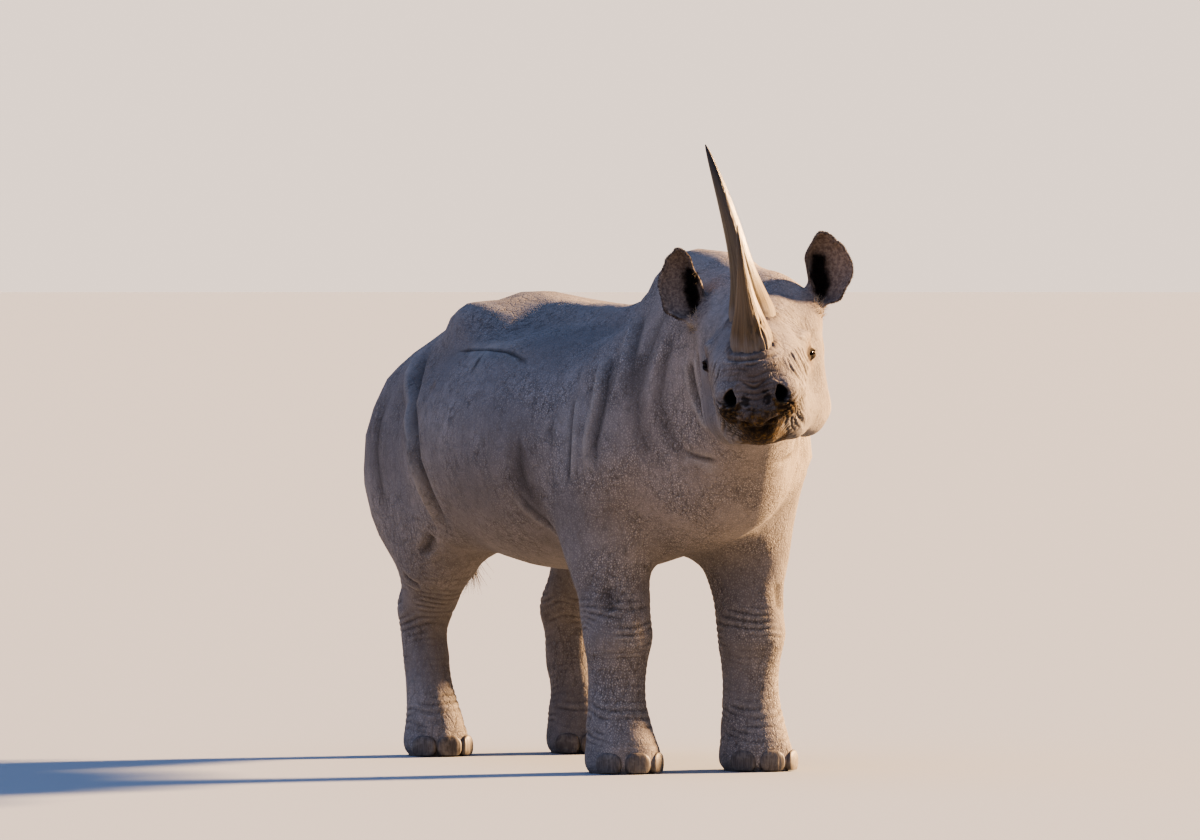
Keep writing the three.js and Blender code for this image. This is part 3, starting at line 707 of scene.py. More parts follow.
def collars(head, relief):
    """The skin swells raggedly where the horns stand on it."""
    close = np.flatnonzero((np.abs(head[:, 0]) < 0.15) & (head[:, 1] < 0.1) & (head[:, 2] > -0.02))
    reach = 40 * MILLI
    for name in ("horn_front", "horn_rear"):
        source = bmesh.new()
        source.from_mesh(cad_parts[name].data)
        tree = BVHTree.FromBMesh(source)
        source.free()
        points = from_head(head[close])
        distance = np.array([tree.find_nearest(point, reach)[3] or reach for point in points])
        ragged = noise(head[close], 0.014, 46)
        swelling = 4.5 * MILLI * bell(distance - 0.003, 0.012) * (1 + 0.9 * ragged)
        groove = 1.2 * MILLI * bell(distance - 0.028, 0.007) * step(-0.3, 0.3, ragged)
        relief.heights[close] += swelling
        relief.heights[close] -= groove
        # painted shade: the hide is painted darker close round the foot of each horn
        relief.stain("hollow", 0.5 * bell(distance, 0.014) * (1 + 0.6 * ragged), close)
        relief.stain("painted_shade", 0.45 * bell(distance, 0.022) * (1 + 0.6 * ragged), close)


# how the rim of each ear is drawn out or in: a place, its shift and the reach, in millimetres
EAR_PULLS = (
    ((158, 255, 285), (-8, 0, 0), 32), ((280, 255, 222), (9, 0, 0), 45),
    ((212, 255, 140), (22, 0, -2), 40), ((172, 260, 196), (8, 0, 0), 26),
    ((206, 250, 338), (0, 0, 6), 24), ((246, 255, 314), (-5, 0, -5), 11),
    ((-204, 255, 140), (-24, 0, 0), 40), ((-160, 255, 282), (-12, 0, 0), 34),
    ((-212, 250, 340), (-3, 0, 7), 13), ((-262, 252, 292), (5, 0, -3), 24),
    ((-264, 255, 168), (-15, 0, -5), 28),
)


def draw_ears(head):
    """Gives each ear its own outline; returns the moved points."""
    x, y, z = head.T
    on_ear = step(0.14, 0.16, np.abs(x)) * step(0.1, 0.13, z) * step(HEAD_END, 0.33, y)
    on_ear *= step(0.16, 0.19, y)
    moved = head.copy()
    for place, shift, reach in EAR_PULLS:
        away = np.linalg.norm((head - np.array(place) * MILLI) * (1, 0.5, 1), axis=1)
        moved += (on_ear * bell(away, reach * MILLI))[:, None] * np.array(shift) * MILLI
    return moved


def lay(relief, picked=slice(None)):
    """Pushes the picked points of the hide out by the relief's heights and keeps its stains."""
    heights = np.zeros(len(hide.points))
    heights[picked] = relief.heights
    hide.push(heights)
    for name, values in relief.marks.items():
        marks[name][picked] = np.maximum(marks[name][picked], values)


marks = {name: np.zeros(len(hide.points)) for name in MARKS}
hide.points = from_head(draw_ears(to_head(hide.points)))
on_head = np.flatnonzero(to_head(hide.points)[:, 1] < HEAD_END)
head = to_head(hide.points)[on_head]
relief = Relief(head)
shape_head(head, hide.normals()[on_head] @ HEAD_AXES[:, 1], relief)
collars(head, relief)
lay(relief, on_head)

head = to_head(hide.points)[on_head]
relief = Relief(head)
for side in (1, -1):
    head = lids(head, relief, side)
    head = nostril(head, relief, side)
hide.points[on_head] = from_head(head)
lay(relief, on_head)

hide.store()
surface = BVHTree.FromPolygons(
    hide.points.tolist(), [tuple(face.vertices) for face in hide.mesh.polygons])

# Courses on both flanks, as places in millimetres back and up. First the folds: width, depth, the
# furrow's ways and its course.
BODY_FOLDS = (
    # neck
    (18, 5, dict(roll=0.6, toward=BACK),
     ((-600, 1330), (-560, 1230), (-548, 1120), (-575, 1010), (-640, 930))),
    (22, 5, dict(roll=0.5, toward=BACK),
     ((-500, 1400), (-470, 1290), (-462, 1160), (-480, 1020), (-540, 900))),
    (7, 6, dict(roll=0.5), ((-614, 963), (-657, 940), (-720, 930))),
    # shoulder: a soft fold before it, a sharp one behind the blade and one above the elbow
    (20, 9, dict(roll=0.6, toward=BACK),
     ((-310, 1370), (-340, 1320), (-392, 1255), (-424, 1180), (-440, 1080))),
    (15, 10, dict(roll=0.6, toward=BACK),
     ((-300, 1240), (-318, 1205), (-352, 1118), (-352, 1029), (-350, 950), (-362, 880))),
    (12, 9, dict(roll=0.5, toward=FORWARD),
     ((-195, 1110), (-205, 1070), (-229, 983), (-231, 910), (-222, 850))),
    (12, 5, {}, ((-120, 1060), (-118, 1000), (-140, 930))),
    # behind the elbow, and along the lower edge of the chest
    (26, 7, dict(roll=0.5, toward=BACK), ((-20, 1000), (10, 900), (0, 810), (-40, 740))),
    (12, 5, dict(roll=0.5, toward=BACK), ((60, 860), (40, 790), (0, 730), (-50, 690))),
    # flank: one long fold from the loin down before the thigh, and a shorter one beside it
    (20, 15, dict(roll=0.7, toward=BACK),
     ((985, 1270), (944, 1210), (880, 1151), (745, 1087), (640, 999), (600, 910), (602, 819),
      (640, 740), (690, 670))),
    (16, 8, {}, ((700, 1010), (672, 930), (680, 840), (720, 760))),
    # a long crack high on the flank, with a branch, painted dark along it as painted shade
    (5.5, 4.5, dict(dark=0.4),
     ((700, 1228), (620, 1240), (553, 1239), (440, 1243), (343, 1242), (254, 1234), (186, 1220),
      (97, 1190))),
    (5, 3.5, dict(dark=0.4), ((420, 1243), (400, 1205), (360, 1180))),
    # rump and thigh
    (18, 6, dict(roll=0.3, toward=FORWARD), ((1250, 1030), (1262, 900), (1240, 760))),
    (30, 6, {}, ((1040, 1120), (1060, 980), (1050, 840), (1010, 720))),
    # stifle, hock and knee
    (14, 9, dict(roll=0.5), ((760, 690), (800, 650), (870, 620))),
    (12, 7, dict(roll=0.5), ((1010, 560), (960, 520), (930, 470))),
    (18, 5, {}, ((-330, 640), (-290, 560), (-300, 470))),
    (18, 6, {}, ((-130, 620), (-150, 520), (-140, 430))),
)
# width, height and course
BODY_RIDGES = (
    (60, 8, ((-780, 1390), (-600, 1440), (-420, 1480))),                    # crest of the neck
    (55, 9, ((-150, 1330), (-190, 1220), (-215, 1090))),                    # shoulder blade
    (40, 7, ((900, 1190), (780, 1115), (690, 1020), (640, 900))),           # above the long fold
    (60, -7, ((620, 1325), (280, 1330), (-60, 1325), (-300, 1310))),        # hollow under the back
    (55, 8, ((985, 1120), (1010, 980), (990, 840))),                        # thigh
)
RIBS = 7
RIB_START, RIB_PITCH = 90, 92
RIB_COURSE = ((0, 1190), (30, 1060), (34, 930), (8, 810))
# hips and loin stand up from the back line: place in metres, reach and height
BACK_MOUNDS = (((0, 1.28, 1.42), (220, 120, 200), 15), ((0, 0.82, 1.48), (220, 170, 200), 15))


def beside_body(stations, count=24):
    """The paths on both flanks through places given by how far back and how high they are."""
    for side in (1, -1):
        starts = [Vector((side, back * MILLI, height * MILLI)) for back, height in stations]
        hits = [surface.ray_cast(start, Vector((-side, 0, 0)))[0] for start in starts]
        yield path_through([hit for hit in hits if hit is not None], count)


def shape_body(points, relief):
    """The folds of neck, shoulders, flanks and legs."""
    ribs = [(26, 3.2, [(back + RIB_START + RIB_PITCH * n, height) for back, height in RIB_COURSE])
            for n in range(RIBS)]
    for width, depth, ways, stations in BODY_FOLDS:
        for path in beside_body(stations):
            relief.furrow(path, width, depth, **ways)
    for width, height, stations in (*BODY_RIDGES, *ribs):
        for path in beside_body(stations):
            relief.ridge(path, width, height)
    for place, size, height in BACK_MOUNDS:
        relief.mound(place, size, height)

    # rings of fine folds round the legs, closest at the joints and over the feet, painted darker
    # in their furrows as painted shade
    y, z = points[:, 1], points[:, 2]
    wander = noise(points, 0.09, 11)
    broken = step(-0.5, 0.3, noise(points * (1, 1, 2.4), 0.07, 12))
    for on_leg, leg_back, joint in ((y < 0.3, -0.22, 0.43), (y >= 0.3, 1.08, 0.44)):
        strength = bell(z - 0.145, 0.06) + 0.8 * bell(z - joint, 0.09)
        strength += 0.35 * step(0.62, 0.5, z) * step(0.05, 0.1, z)
        lines = broken * rows((z + 0.25 * np.abs(y - leg_back) + 0.012 * wander) / 0.021, 0.2)
        relief.heights -= np.where(on_leg, 3.0 * MILLI * np.minimum(strength, 1.1) * lines, 0)
        relief.stain("hollow", np.where(on_leg, 0.6 * np.minimum(strength, 1) * lines, 0))

    # the hide's own unevenness: broad waves, and low wrinkles that run down the sides
    below_head = step(0.24, 0.34, to_head(points)[:, 1])
    upright = noise(points * (1, 1, 0.3), 0.05, 15) + 0.5 * noise(points * (1, 1, 0.4), 0.025, 16)
    relief.heights += below_head * MILLI * (
        2.6 * noise(points, 0.14, 13) + 1.3 * noise(points, 0.055, 14)
        - 1.4 * bell(upright, 0.16) * step(0.5, 0.7, z))


relief = Relief(hide.points)
shape_body(hide.points, relief)
lay(relief)

# the soles stand flat on the floor
hide.points[:, 2] = np.where(hide.points[:, 2] < 5 * MILLI, 0, hide.points[:, 2])

# deeper and higher places than their surroundings: the deeper ones are painted darker as painted
# shade, the higher ones paler as painted highlights
lie = hide.points - hide.evened(hide.points, 8)
relative = np.einsum("ij,ij->i", lie, hide.normals()) / MILLI
marks["hollow"] = np.clip(np.maximum(marks["hollow"], step(-0.15, -1.6, relative)), 0, 1)
marks["crest"] = step(0.15, 1.4, relative)
marks["face"] = step(0.3, 0.05, to_head(hide.points)[:, 1])
add_layers(hide.mesh, **{name: hide.evened(values, 1) for name, values in marks.items()})
hide.store()


def importance(points):
    """How readily the mesh is made coarser: 1 on the trunk, near 0 on the eyelids."""
    head = to_head(points)
    coarse = np.full(len(points), 1.0)
    coarse -= 0.35 * step(0.7, 0.5, points[:, 2])
    coarse -= 0.55 * step(HEAD_END, 0.2, head[:, 1]) * (head[:, 2] > -0.35)
    coarse[on_face(points)] = 0.18
    coarse[within(EYE_PLACES, 0.036)(points)] = 0.03
    coarse[within(NOSTRIL_PLACES, 0.05)(points)] = 0.08
    return coarse


hide.mesh = modified(hide.mesh, "TRIANGULATE")
skin_mesh = modified(hide.mesh, "DECIMATE", importance(hide.points), decimate_type="COLLAPSE",
                     ratio=HIDE_TRIANGLES / len(hide.mesh.polygons))

# ---------------------------------------------------------------- finishes

SMOOTH = {"interpolation_type": "SMOOTHSTEP"}
TINTED = {"data_type": "RGBA"}
TIMES = {"operation": "MULTIPLY"}

# sizes of the patterns in millimetres
PEBBLE = 6.6        # 3 to 5 on a real hide; drawn a little coarser, so that they show
GRAIN = 2.8         # under 1 on a real hide; drawn coarser, so that it shows
STRAND = 2.2        # real horn fibres are 0.3 thick; drawn as strands of several, which show
STREAK = 6.5        # bundles of strands
NAIL_STREAK = 4
HAIR_TINT = 6       # drawn coarser than one bristle, which is 0.3 to 1 thick


def linear(code):
    """An sRGB hex colour as linear red, green, blue and alpha."""
    shares = [int(code[n:n + 2], 16) / 255 for n in (1, 3, 5)]
    return [s / 12.92 if s <= 0.04045 else ((s + 0.055) / 1.055) ** 2.4 for s in shares] + [1]


def add_node(tree, kind, *values, inputs=(), out=None, **settings):
    """Adds a shader node; returns its first output, or the one named. The values go to its inputs
    in their order, and inputs names others: each is a value, a hex colour or a node's output."""
    node = tree.nodes.new("ShaderNode" + kind)
    for name, value in settings.items():
        setattr(node, name, value)
    shown = [socket for socket in node.inputs if socket.enabled]
    named = [(node.inputs[name], value) for name, value in dict(inputs).items()]
    for socket, value in [*zip(shown, values), *named]:
        if isinstance(value, bpy.types.NodeSocket):
            tree.links.new(value, socket)
        elif value is not None:
            socket.default_value = linear(value) if isinstance(value, str) else value
    if out:
        return node.outputs[out]
    return next((socket for socket in node.outputs if socket.enabled), None)


def blank(data):
    """Clears the nodes of a material or a world; returns the function that adds a node to it."""
    data.use_nodes = True
    data.node_tree.nodes.clear()
    return functools.partial(add_node, data.node_tree)


def wandering(add, place, size, amount, stretch):
    """Places that drift about by an amount, over a size, both in millimetres, so that a pattern
    laid on them wanders. A stretch below 1 draws it out upward."""
    drift = add("TexNoise", place, 1000 / size, 2.0, out="Color")
    centred = add("VectorMath", drift, (0.5, 0.5, 0.5), operation="SUBTRACT")
    moved = add("VectorMath", centred, amount * MILLI, operation="SCALE")
    moved = add("VectorMath", moved, place, operation="ADD")
    return add("Mapping", moved, inputs={"Scale": (1, 1, stretch)})


def coated(add, colour, tints, relief, roughness, **shine):
    """Covers a base colour with tints, each with two shares that are multiplied, and adds relief
    that is finer than the mesh: where a height is 1 it stands proud by a depth in millimetres."""
    normal = None
    for share, counts, tint in tints:
        colour = add("Mix", add("Math", share, counts, **TIMES), colour, tint, **TINTED)
    for height, depth, strength in relief:
        normal = add("Bump", inputs={"Height": height, "Distance": depth * MILLI,
                                     "Strength": strength, "Normal": normal})
    inputs = {name.replace("_", " "): value for name, value in shine.items()}
    inputs.update({"Base Color": colour, "Roughness": roughness, "Normal": normal})
    add("OutputMaterial", add("BsdfPrincipled", inputs=inputs))


def dusty_hide():
    """Thick bare hide under dry dust: matt and chalky, so that it takes the light softly. Pebble
    and wrinkle tops are painted pale as painted highlights, and furrows and the gaps between
    pebbles a darker, warmer grey as painted shade. On the lips lies dark wet mud with dry ochre
    flecks."""
    material = bpy.data.materials.new("dusty_hide")
    add = blank(material)
    place = add("TexCoord", out="Object")
    how_far_back = add("SeparateXYZ", place, out="Y")
    smooth, face, mud_and_shade, dark, painted_shade, hollow, crest = (
        add("Attribute", attribute_name=name, out="Fac")
        for name in ("smooth", "face", "mud_and_shade", "dark", "painted_shade", "hollow", "crest"))

    patches, mottle, bare, grain, splash, blotch, fleck = (
        add("TexNoise", place, 1000 / size, detail, roughness) for size, detail, roughness in (
            (340, 4, 0.55), (50, 3, 0.55), (160, 2, 0.55), (GRAIN, 2, 0.55), (20, 4, 0.55),
            (9, 5, 0.7), (12, 4, 0.55)))
    # faint wrinkles that cross the hide, pebbles between them and fine creases
    plates, pebbles = (
        add("TexVoronoi", wandering(add, place, *drift), 1000 / size, feature="DISTANCE_TO_EDGE")
        for size, drift in ((30, (30, 30, 0.5)), (PEBBLE, (18, 9, 0.8))))
    lines = add("TexNoise", wandering(add, place, 50, 20, 0.3), 1000 / 11, 5.0, 0.65)
    wrinkles, bead, creases, off_face, bare, rough = (
        add("MapRange", *band, **SMOOTH) for band in (
            (plates, 0.0, 0.12), (pebbles, 0.0, 0.36), (lines, 0.3, 0.5), (face, 0, 1, 1, 0),
            (bare, 0.38, 0.62, 0.4, 0.9), (smooth, 0, 1, 1, 0.1)))
    # the pebbles are plainest on the forequarters and weaker on the face
    pebbled = shown = add("Math", bare, rough, **TIMES)
    for band in ((how_far_back, -0.35, 0.35, 1, 0.5), (face, 0, 1, 1, 0.55)):
        pebbled = add("Math", pebbled, add("MapRange", *band, **SMOOTH), **TIMES)

    patched, mottled, dusted, top, foot, creased, wrinkled, splashed, blotched, flecked = (
        add("MapRange", *band, **SMOOTH) for band in (
            (patches, 0.35, 0.68), (mottle, 0.3, 0.7, 0, 0.4),
            (how_far_back, -0.2, -0.55, 0, 0.45), (bead, 0.3, 1.0, 0, 0.36),
            (bead, 0, 0.6, 0.42, 0), (creases, 0, 1, 0.5, 0), (wrinkles, 0, 1, 0.3, 0),
            (add("Math", mud_and_shade, splash, operation="ADD"), 0.66, 1.05), (blotch, 0.4, 0.62),
            (fleck, 0.42, 0.68)))
    bald = add("Mix", blotched, "#5e5148", "#958779", **TINTED)
    mud_and_shade = add("Mix", flecked, "#33240f", "#6b5227", **TINTED)
    # painted light in the tints: the crests and the pebble tops are painted pale as painted
    # highlights; the gaps between the pebbles, the creases, the wrinkles, the hollows and the
    # shade mark are painted darker as painted shade, and the dark mark near black as painted shade
    # in openings and creases
    coated(add, "#77716d", (
        (patched, 1, "#8d8680"), (mottled, 1, "#6a645f"), (dusted, off_face, "#a89a8c"),
        (top, pebbled, "#c6bdb1"), (foot, pebbled, "#4d4742"), (creased, shown, "#4f4842"),
        (wrinkled, shown, "#4a443e"), (crest, 0.45, "#a8a094"), (hollow, 0.66, "#3a342f"),
        (smooth, 0.75, bald), (painted_shade, 0.7, "#3f3129"), (splashed, 0.88, mud_and_shade),
        (dark, 0.96, "#120e0c"),
    ), (
        (add("Math", wrinkles, shown, **TIMES), 1.6, 0.6),
        (add("Math", creases, shown, **TIMES), 1.8, 0.8),
        (add("Math", bead, pebbled, **TIMES), 1.2, 0.7), (grain, 0.7, 0.5),
    ), 0.88, Sheen_Weight=0.04, Sheen_Roughness=0.6, Specular_IOR_Level=0.16)
    return material


def horn_keratin(name, base, middle, tip, polish):
    """Packed horn fibres: satin where they are rubbed smooth up the shaft, dull and open at the
    base, with fine streaks that run the length of the horn and catch the light one by one."""
    material = bpy.data.materials.new(name)
    add = blank(material)
    grain = add("Attribute", attribute_name="grain", out="Vector")
    along, cleft, foot = (add("Attribute", attribute_name=layer, out="Fac")
                          for layer in ("along", "cleft", "foot"))
    streaks, strands, blots = (
        add("TexNoise", add("Mapping", grain, inputs={"Scale": (1, 1, stretch)}), 1000 / size,
            detail, roughness)
        for size, detail, roughness, stretch in (
            (STREAK, 4, 0.6, 0.035), (STRAND, 3, 0.6, 0.02), (50, 3, 0.55, 0.35)))
    low, high, open_base, streaked, stranded, blotted, dusted, dull, streaky = (
        add("MapRange", *band, **SMOOTH) for band in (
            (along, 0.1, 0.4), (along, 0.55, 0.95), (along, 0.34, 0.12),
            (streaks, 0.42, 0.68, 0, 0.55), (strands, 0.5, 0.72, 0, 0.6),
            (blots, 0.45, 0.75, 0, 0.35), (streaks, 0.3, 0.6, 0.95, 0.6),
            (along, 0.1, 0.5, 0.72, polish), (streaks, 0.3, 0.8, 0, 0.12)))
    # the clefts between the splinters are painted dark as painted shade
    coated(add, base, (
        (low, 1, middle), (high, 1, tip), (streaked, 1, "#2e2417"),
        (stranded, open_base, "#9a855f"), (blotted, 1, "#6b5d45"), (cleft, 0.6, "#1e1912"),
        (foot, dusted, "#756d64"),
    ), ((streaks, 1.6, 0.6), (strands, 1.1, 0.7)), add("Math", dull, streaky, operation="ADD"),
        Specular_IOR_Level=0.45)
    return material


def wet_eye():
    """A wet dark eye: a near-black pupil in deep brown under a clear film that holds glints."""
    material = bpy.data.materials.new("wet_eye")
    add = blank(material)
    ring = add("Attribute", attribute_name="iris", out="Fac")
    fibres = add("TexNoise", add("TexCoord", out="Object"), 1000 / 1.5, 3.0, 0.55)
    pupil_edge, fibrous, iris_edge = (
        add("MapRange", *band, **SMOOTH)
        for band in ((ring, 0.36, 0.42), (fibres, 0.4, 0.7), (ring, 0.62, 0.8)))
    coated(add, "#060403", ((pupil_edge, 1, "#2b1a0f"), (fibrous, 0.5, "#170d07"),
                            (iris_edge, 1, "#1a120e")), (), 0.3,
           Specular_IOR_Level=0.0, Coat_Weight=0.3, Coat_Roughness=0.08, Coat_IOR=1.38)
    return material


def toenail_horn():
    """Blunt hoof horn, worn dull and scuffed by the ground, a little smoother than the hide."""
    material = bpy.data.materials.new("toenail_horn")
    add = blank(material)
    place = add("TexCoord", out="Object")
    upright = add("Mapping", place, inputs={"Scale": (1, 1, 0.12)})
    streaks = add("TexNoise", upright, 1000 / NAIL_STREAK, 3.0, 0.55)
    scuffs = add("TexNoise", place, 1000 / 18, 4.0, 0.55)
    streaked = add("MapRange", streaks, 0.35, 0.65, **SMOOTH)
    scuffed = add("MapRange", scuffs, 0.45, 0.7, 0.0, 0.5, **SMOOTH)
    coated(add, "#554e47", ((streaked, 1, "#6a625a"), (scuffed, 1, "#857d72")),
           ((streaks, 0.8, 0.6), (scuffs, 1.5, 0.4)), 0.58, Specular_IOR_Level=0.4)
    return material


def dry_hair(name, dark, light, roughness):
    """Coarse dry hair without gloss; each bristle is a little darker or lighter than the next."""
    material = bpy.data.materials.new(name)
    add = blank(material)
    tints = add("TexNoise", add("TexCoord", out="Object"), 1000 / HAIR_TINT, 2.0, 0.55)
    lighter = add("MapRange", tints, 0.35, 0.65, **SMOOTH)
    coated(add, dark, ((lighter, 1, light),), (), roughness, Specular_IOR_Level=0.35)
    return material


def matt_floor_paint():
    """Matt pale paint without a pattern, so that only the shadow shows where the feet stand."""
    material = bpy.data.materials.new("matt_floor_paint")
    coated(blank(material), "#979ca0", (), (), 0.9)
    return material


skin = piece("hide", skin_mesh, dusty_hide())

# ---------------------------------------------------------------- horns

# as in the solids: places are forward and up from the eyes, sizes in millimetres
FRONT_HORN = dict(foot=(-248, 12), bow=(-322, 215), tip=(-300, 394), lean=0,
                  half=72, depth=90, stem=0.5, taper=0.85, flare=0.34)
REAR_HORN = dict(foot=(-58, 88), bow=(-92, 372), tip=(-20, 637), lean=-82,
                 half=76, depth=92, stem=0.55, taper=0.6, flare=0.22)
HORN_TIP = 1.8
HORN_TUCK = 4                   # how far its lowest edge rounds in under it
ROOT = 0.1                      # the hidden root, as a share of the horn's length
FRAYED_AT = math.radians(58)    # the direction round the horn in which it is frayed most


def rod(sides, rings, top=1.0):
    """An upright rod of unit size with its sides parted into rings; the top may be narrower."""
    shape = bmesh.new()
    bmesh.ops.create_cone(shape, cap_ends=True, segments=sides, radius1=1, radius2=top, depth=1)
    upright = [e for e in shape.edges if abs(e.verts[0].co.z - e.verts[1].co.z) > 0.5]
    bmesh.ops.subdivide_edges(shape, edges=upright, cuts=rings)
    return shape


def horn(name, material, foot, bow, tip, lean, half, depth, stem, taper, flare, frayed):
    """A tapering horn on a bowed line, its fibres as shallow grooves, frayed round its foot."""
    clay = Clay(as_mesh(name, rod(132, 150)))
    # the lowest rings are the root, which goes straight down into the hide
    height = (clay.points[:, 2] + 0.5)[:, None] * (1 + ROOT) - ROOT
    t = np.clip(height, 0, 1)
    turn = np.arctan2(clay.points[:, 1], clay.points[:, 0])
    start, bend, end = (np.array(place, float) for place in (
        (0, *foot), (lean * 0.14, *bow), (lean, *tip)))
    line = (1 - t) ** 2 * start + 2 * t * (1 - t) * bend + t ** 2 * end
    tangent = unit((1 - t) * (bend - start) + t * (end - bend))
    across = unit(np.array([1.0, 0, 0]) - tangent * tangent[:, :1])
    front = np.cross(across, tangent)
    length = np.linalg.norm(end - start)
    line += np.minimum(height, 0) * length * tangent
    t = t[:, 0]
    width = stem * (1 - t) ** taper + (1 - stem) * np.exp(-(t / flare) ** 2)

    grain = np.stack([half * np.cos(turn), half * np.sin(turn), t * length], 1) * MILLI

    def fibres(stretch, size, seed):
        return noise(grain * (1, 1, stretch), size, seed)

    grooves = fibres(0.05, 0.016, 21) + 0.5 * fibres(0.08, 0.009, 22)
    rise = 1.3 * grooves * (0.25 + 0.75 * (1 - t) ** 2)
    # rough layers that end one above another near the foot
    rise += 2.5 * np.maximum(fibres(0.3, 0.03, 23), 0) * step(0.4, 0.16, t)
    # frayed splinters on one side, with clefts between them that are painted dark as painted shade
    fray = bell((turn - FRAYED_AT) / 0.66, 1) * step(0.38, 0.22, t) * frayed
    splinters = fibres(0.2, 0.009, 24) + 0.4 * fibres(0.3, 0.005, 27)
    rise += fray * (9.0 * np.abs(splinters) ** 0.8 - 2.2)
    rise += 4.0 * bell(t, 0.06) * fibres(0.4, 0.014, 26)
    cleft = fray * step(0.16, 0.02, np.abs(splinters))

    to_side, to_front = (np.maximum(size * width, HORN_TIP) + rise * step(0.0, 0.08, width)
                         for size in (half, depth))
    points = line + across * (np.cos(turn) * to_side)[:, None] \
        + front * (np.sin(turn) * to_front)[:, None]
    by_foot = np.flatnonzero(t < 0.4)
    above = np.full(len(t), 1.0)
    above[by_foot] = [surface.find_nearest(Vector(place))[3]
                      for place in from_head(points[by_foot] * MILLI)]
    points -= HORN_TUCK * step(0.018, 0.0, above)[:, None] * unit(points - line)
    clay.points = from_head(points * MILLI)
    clay.store()
    dust = step(0.05, 0.006, above + 0.016 * fibres(0.4, 0.013, 25))
    add_layers(clay.mesh, along=t, cleft=cleft, foot=dust, grain=grain)
    return piece(name, clay.mesh, material)


front_keratin = horn_keratin("front_horn_keratin", "#614c2f", "#705a3c", "#564733", 0.42)
horn_front = horn("front_horn", front_keratin, **FRONT_HORN, frayed=1.0)
rear_keratin = horn_keratin("rear_horn_keratin", "#6b583c", "#64553e", "#3b3228", 0.3)
horn_rear = horn("rear_horn", rear_keratin, **REAR_HORN, frayed=0.0)

# ---------------------------------------------------------------- eyes and toenails


def ball(name, radius):
    shape = bmesh.new()
    bmesh.ops.create_icosphere(shape, subdivisions=5, radius=radius)
    return Clay(as_mesh(name, shape))


def eyeball(name, side, material):
    """A ball with a slight bulge over the iris, which knows how far each point is from it."""
    clay = ball(name, EYE_RADIUS - 0.2 * MILLI)
    out = clay.points @ eye_axes(side)[0] / EYE_RADIUS
    away = np.sqrt(np.maximum(1 - out ** 2, 0)) * np.sign(out) + 2 * (out < 0)
    clay.points *= 1 + 0.02 * bell(away, 0.45)[:, None]
    clay.points = from_head(clay.points + EYE_PLACES[0] * (side, 1, 1))
    clay.store()
    add_layers(clay.mesh, iris=away)
    return piece(name, clay.mesh, material)


eye_finish = wet_eye()
eyes = {"eye_left": eyeball("left_eye", 1, eye_finish),
        "eye_right": eyeball("right_eye", -1, eye_finish)}

NAIL_HALF = np.array([40, 15, 34]) * MILLI      # across, out from the foot and up
NAIL_SHAPE = 0.82, 0.55, 0.8                    # below 1 is squarer than a ball
NAIL_TURN = math.radians(47)                    # from one nail of a foot to the next
NAIL_CLEAR = 4 * MILLI                          # above the floor
NAIL_HEIGHT = 30 * MILLI
NAIL_SUNK = 7 * MILLI                           # how far its middle lies in the foot


def toenail(node, material):
    """A broad blunt nail, flattened below and grooved from root to edge."""
    turn = (int(node[-1]) - 2) * NAIL_TURN
    out = np.array([math.sin(turn), -math.cos(turn), 0])
    along = np.array([math.cos(turn), math.sin(turn), 0])
    clay = ball(node, 1)
    points = np.sign(clay.points) * np.abs(clay.points) ** NAIL_SHAPE * NAIL_HALF
    centre = np.array(middle(node))
    centre[2] = NAIL_HEIGHT
    root = surface.ray_cast(Vector(centre + 0.1 * out), Vector(-out))[0]
    if root is not None:
        centre = np.array(root) - NAIL_SUNK * out
    clay.points = points @ np.array([along, out, (0, 0, 1)]) + centre
    clay.points += 0.8 * MILLI * noise(clay.points * (1, 1, 0.2), 0.008, 31)[:, None] * out
    clay.points[:, 2] = np.maximum(clay.points[:, 2], NAIL_CLEAR)
    clay.store()
    return piece(node + "_horn", clay.mesh, material)


nail_finish = toenail_horn()
toenails = {node: toenail(node, nail_finish) for node in TOENAILS}

# ---------------------------------------------------------------- bristles

FLAT_SHARE = 0.03               # the flat copy's share of the hide's triangles
PATCH = 0.003                   # how wide one bristle is on the flat map
SCATTER = 1.5 * MILLI           # how far a bristle stands from its point of the hide
TASSEL_TOP = 0.82               # the tassel's upper end


def flattened(mesh):
    """A coarse copy of the hide, parted and laid flat, to look places of the map up on."""
    coarse = modified(mesh, "DECIMATE", decimate_type="COLLAPSE", ratio=FLAT_SHARE)
    coarse = add_object("flat_hide", coarse)
    bpy.context.view_layer.objects.active = coarse
    coarse.select_set(True)
    bpy.ops.object.mode_set(mode="EDIT")
    bpy.ops.mesh.select_all(action="SELECT")
    bpy.ops.uv.smart_project(angle_limit=1.15, island_margin=0.005)
    bpy.ops.object.mode_set(mode="OBJECT")
    shape = coarse.data
    corners = values_of(shape.vertices, "co", 3)
    faces = values_of(shape.polygons, "vertices", 3, np.int32)
    places = values_of(shape.uv_layers.active.uv, "vector", 2).reshape(-1, 3, 2)
    bpy.data.objects.remove(coarse)
    tree = BVHTree.FromPolygons(corners.tolist(), faces.tolist())

    def flat_place(root):
        spot, _, face, _ = tree.find_nearest(Vector(root))
        flat = [Vector((*place, 0)) for place in places[face]]
        solid = [Vector(corner) for corner in corners[faces[face]]]
        return barycentric_transform(spot, *solid, *flat).xy

    return flat_place


flat_place = flattened(skin.data)


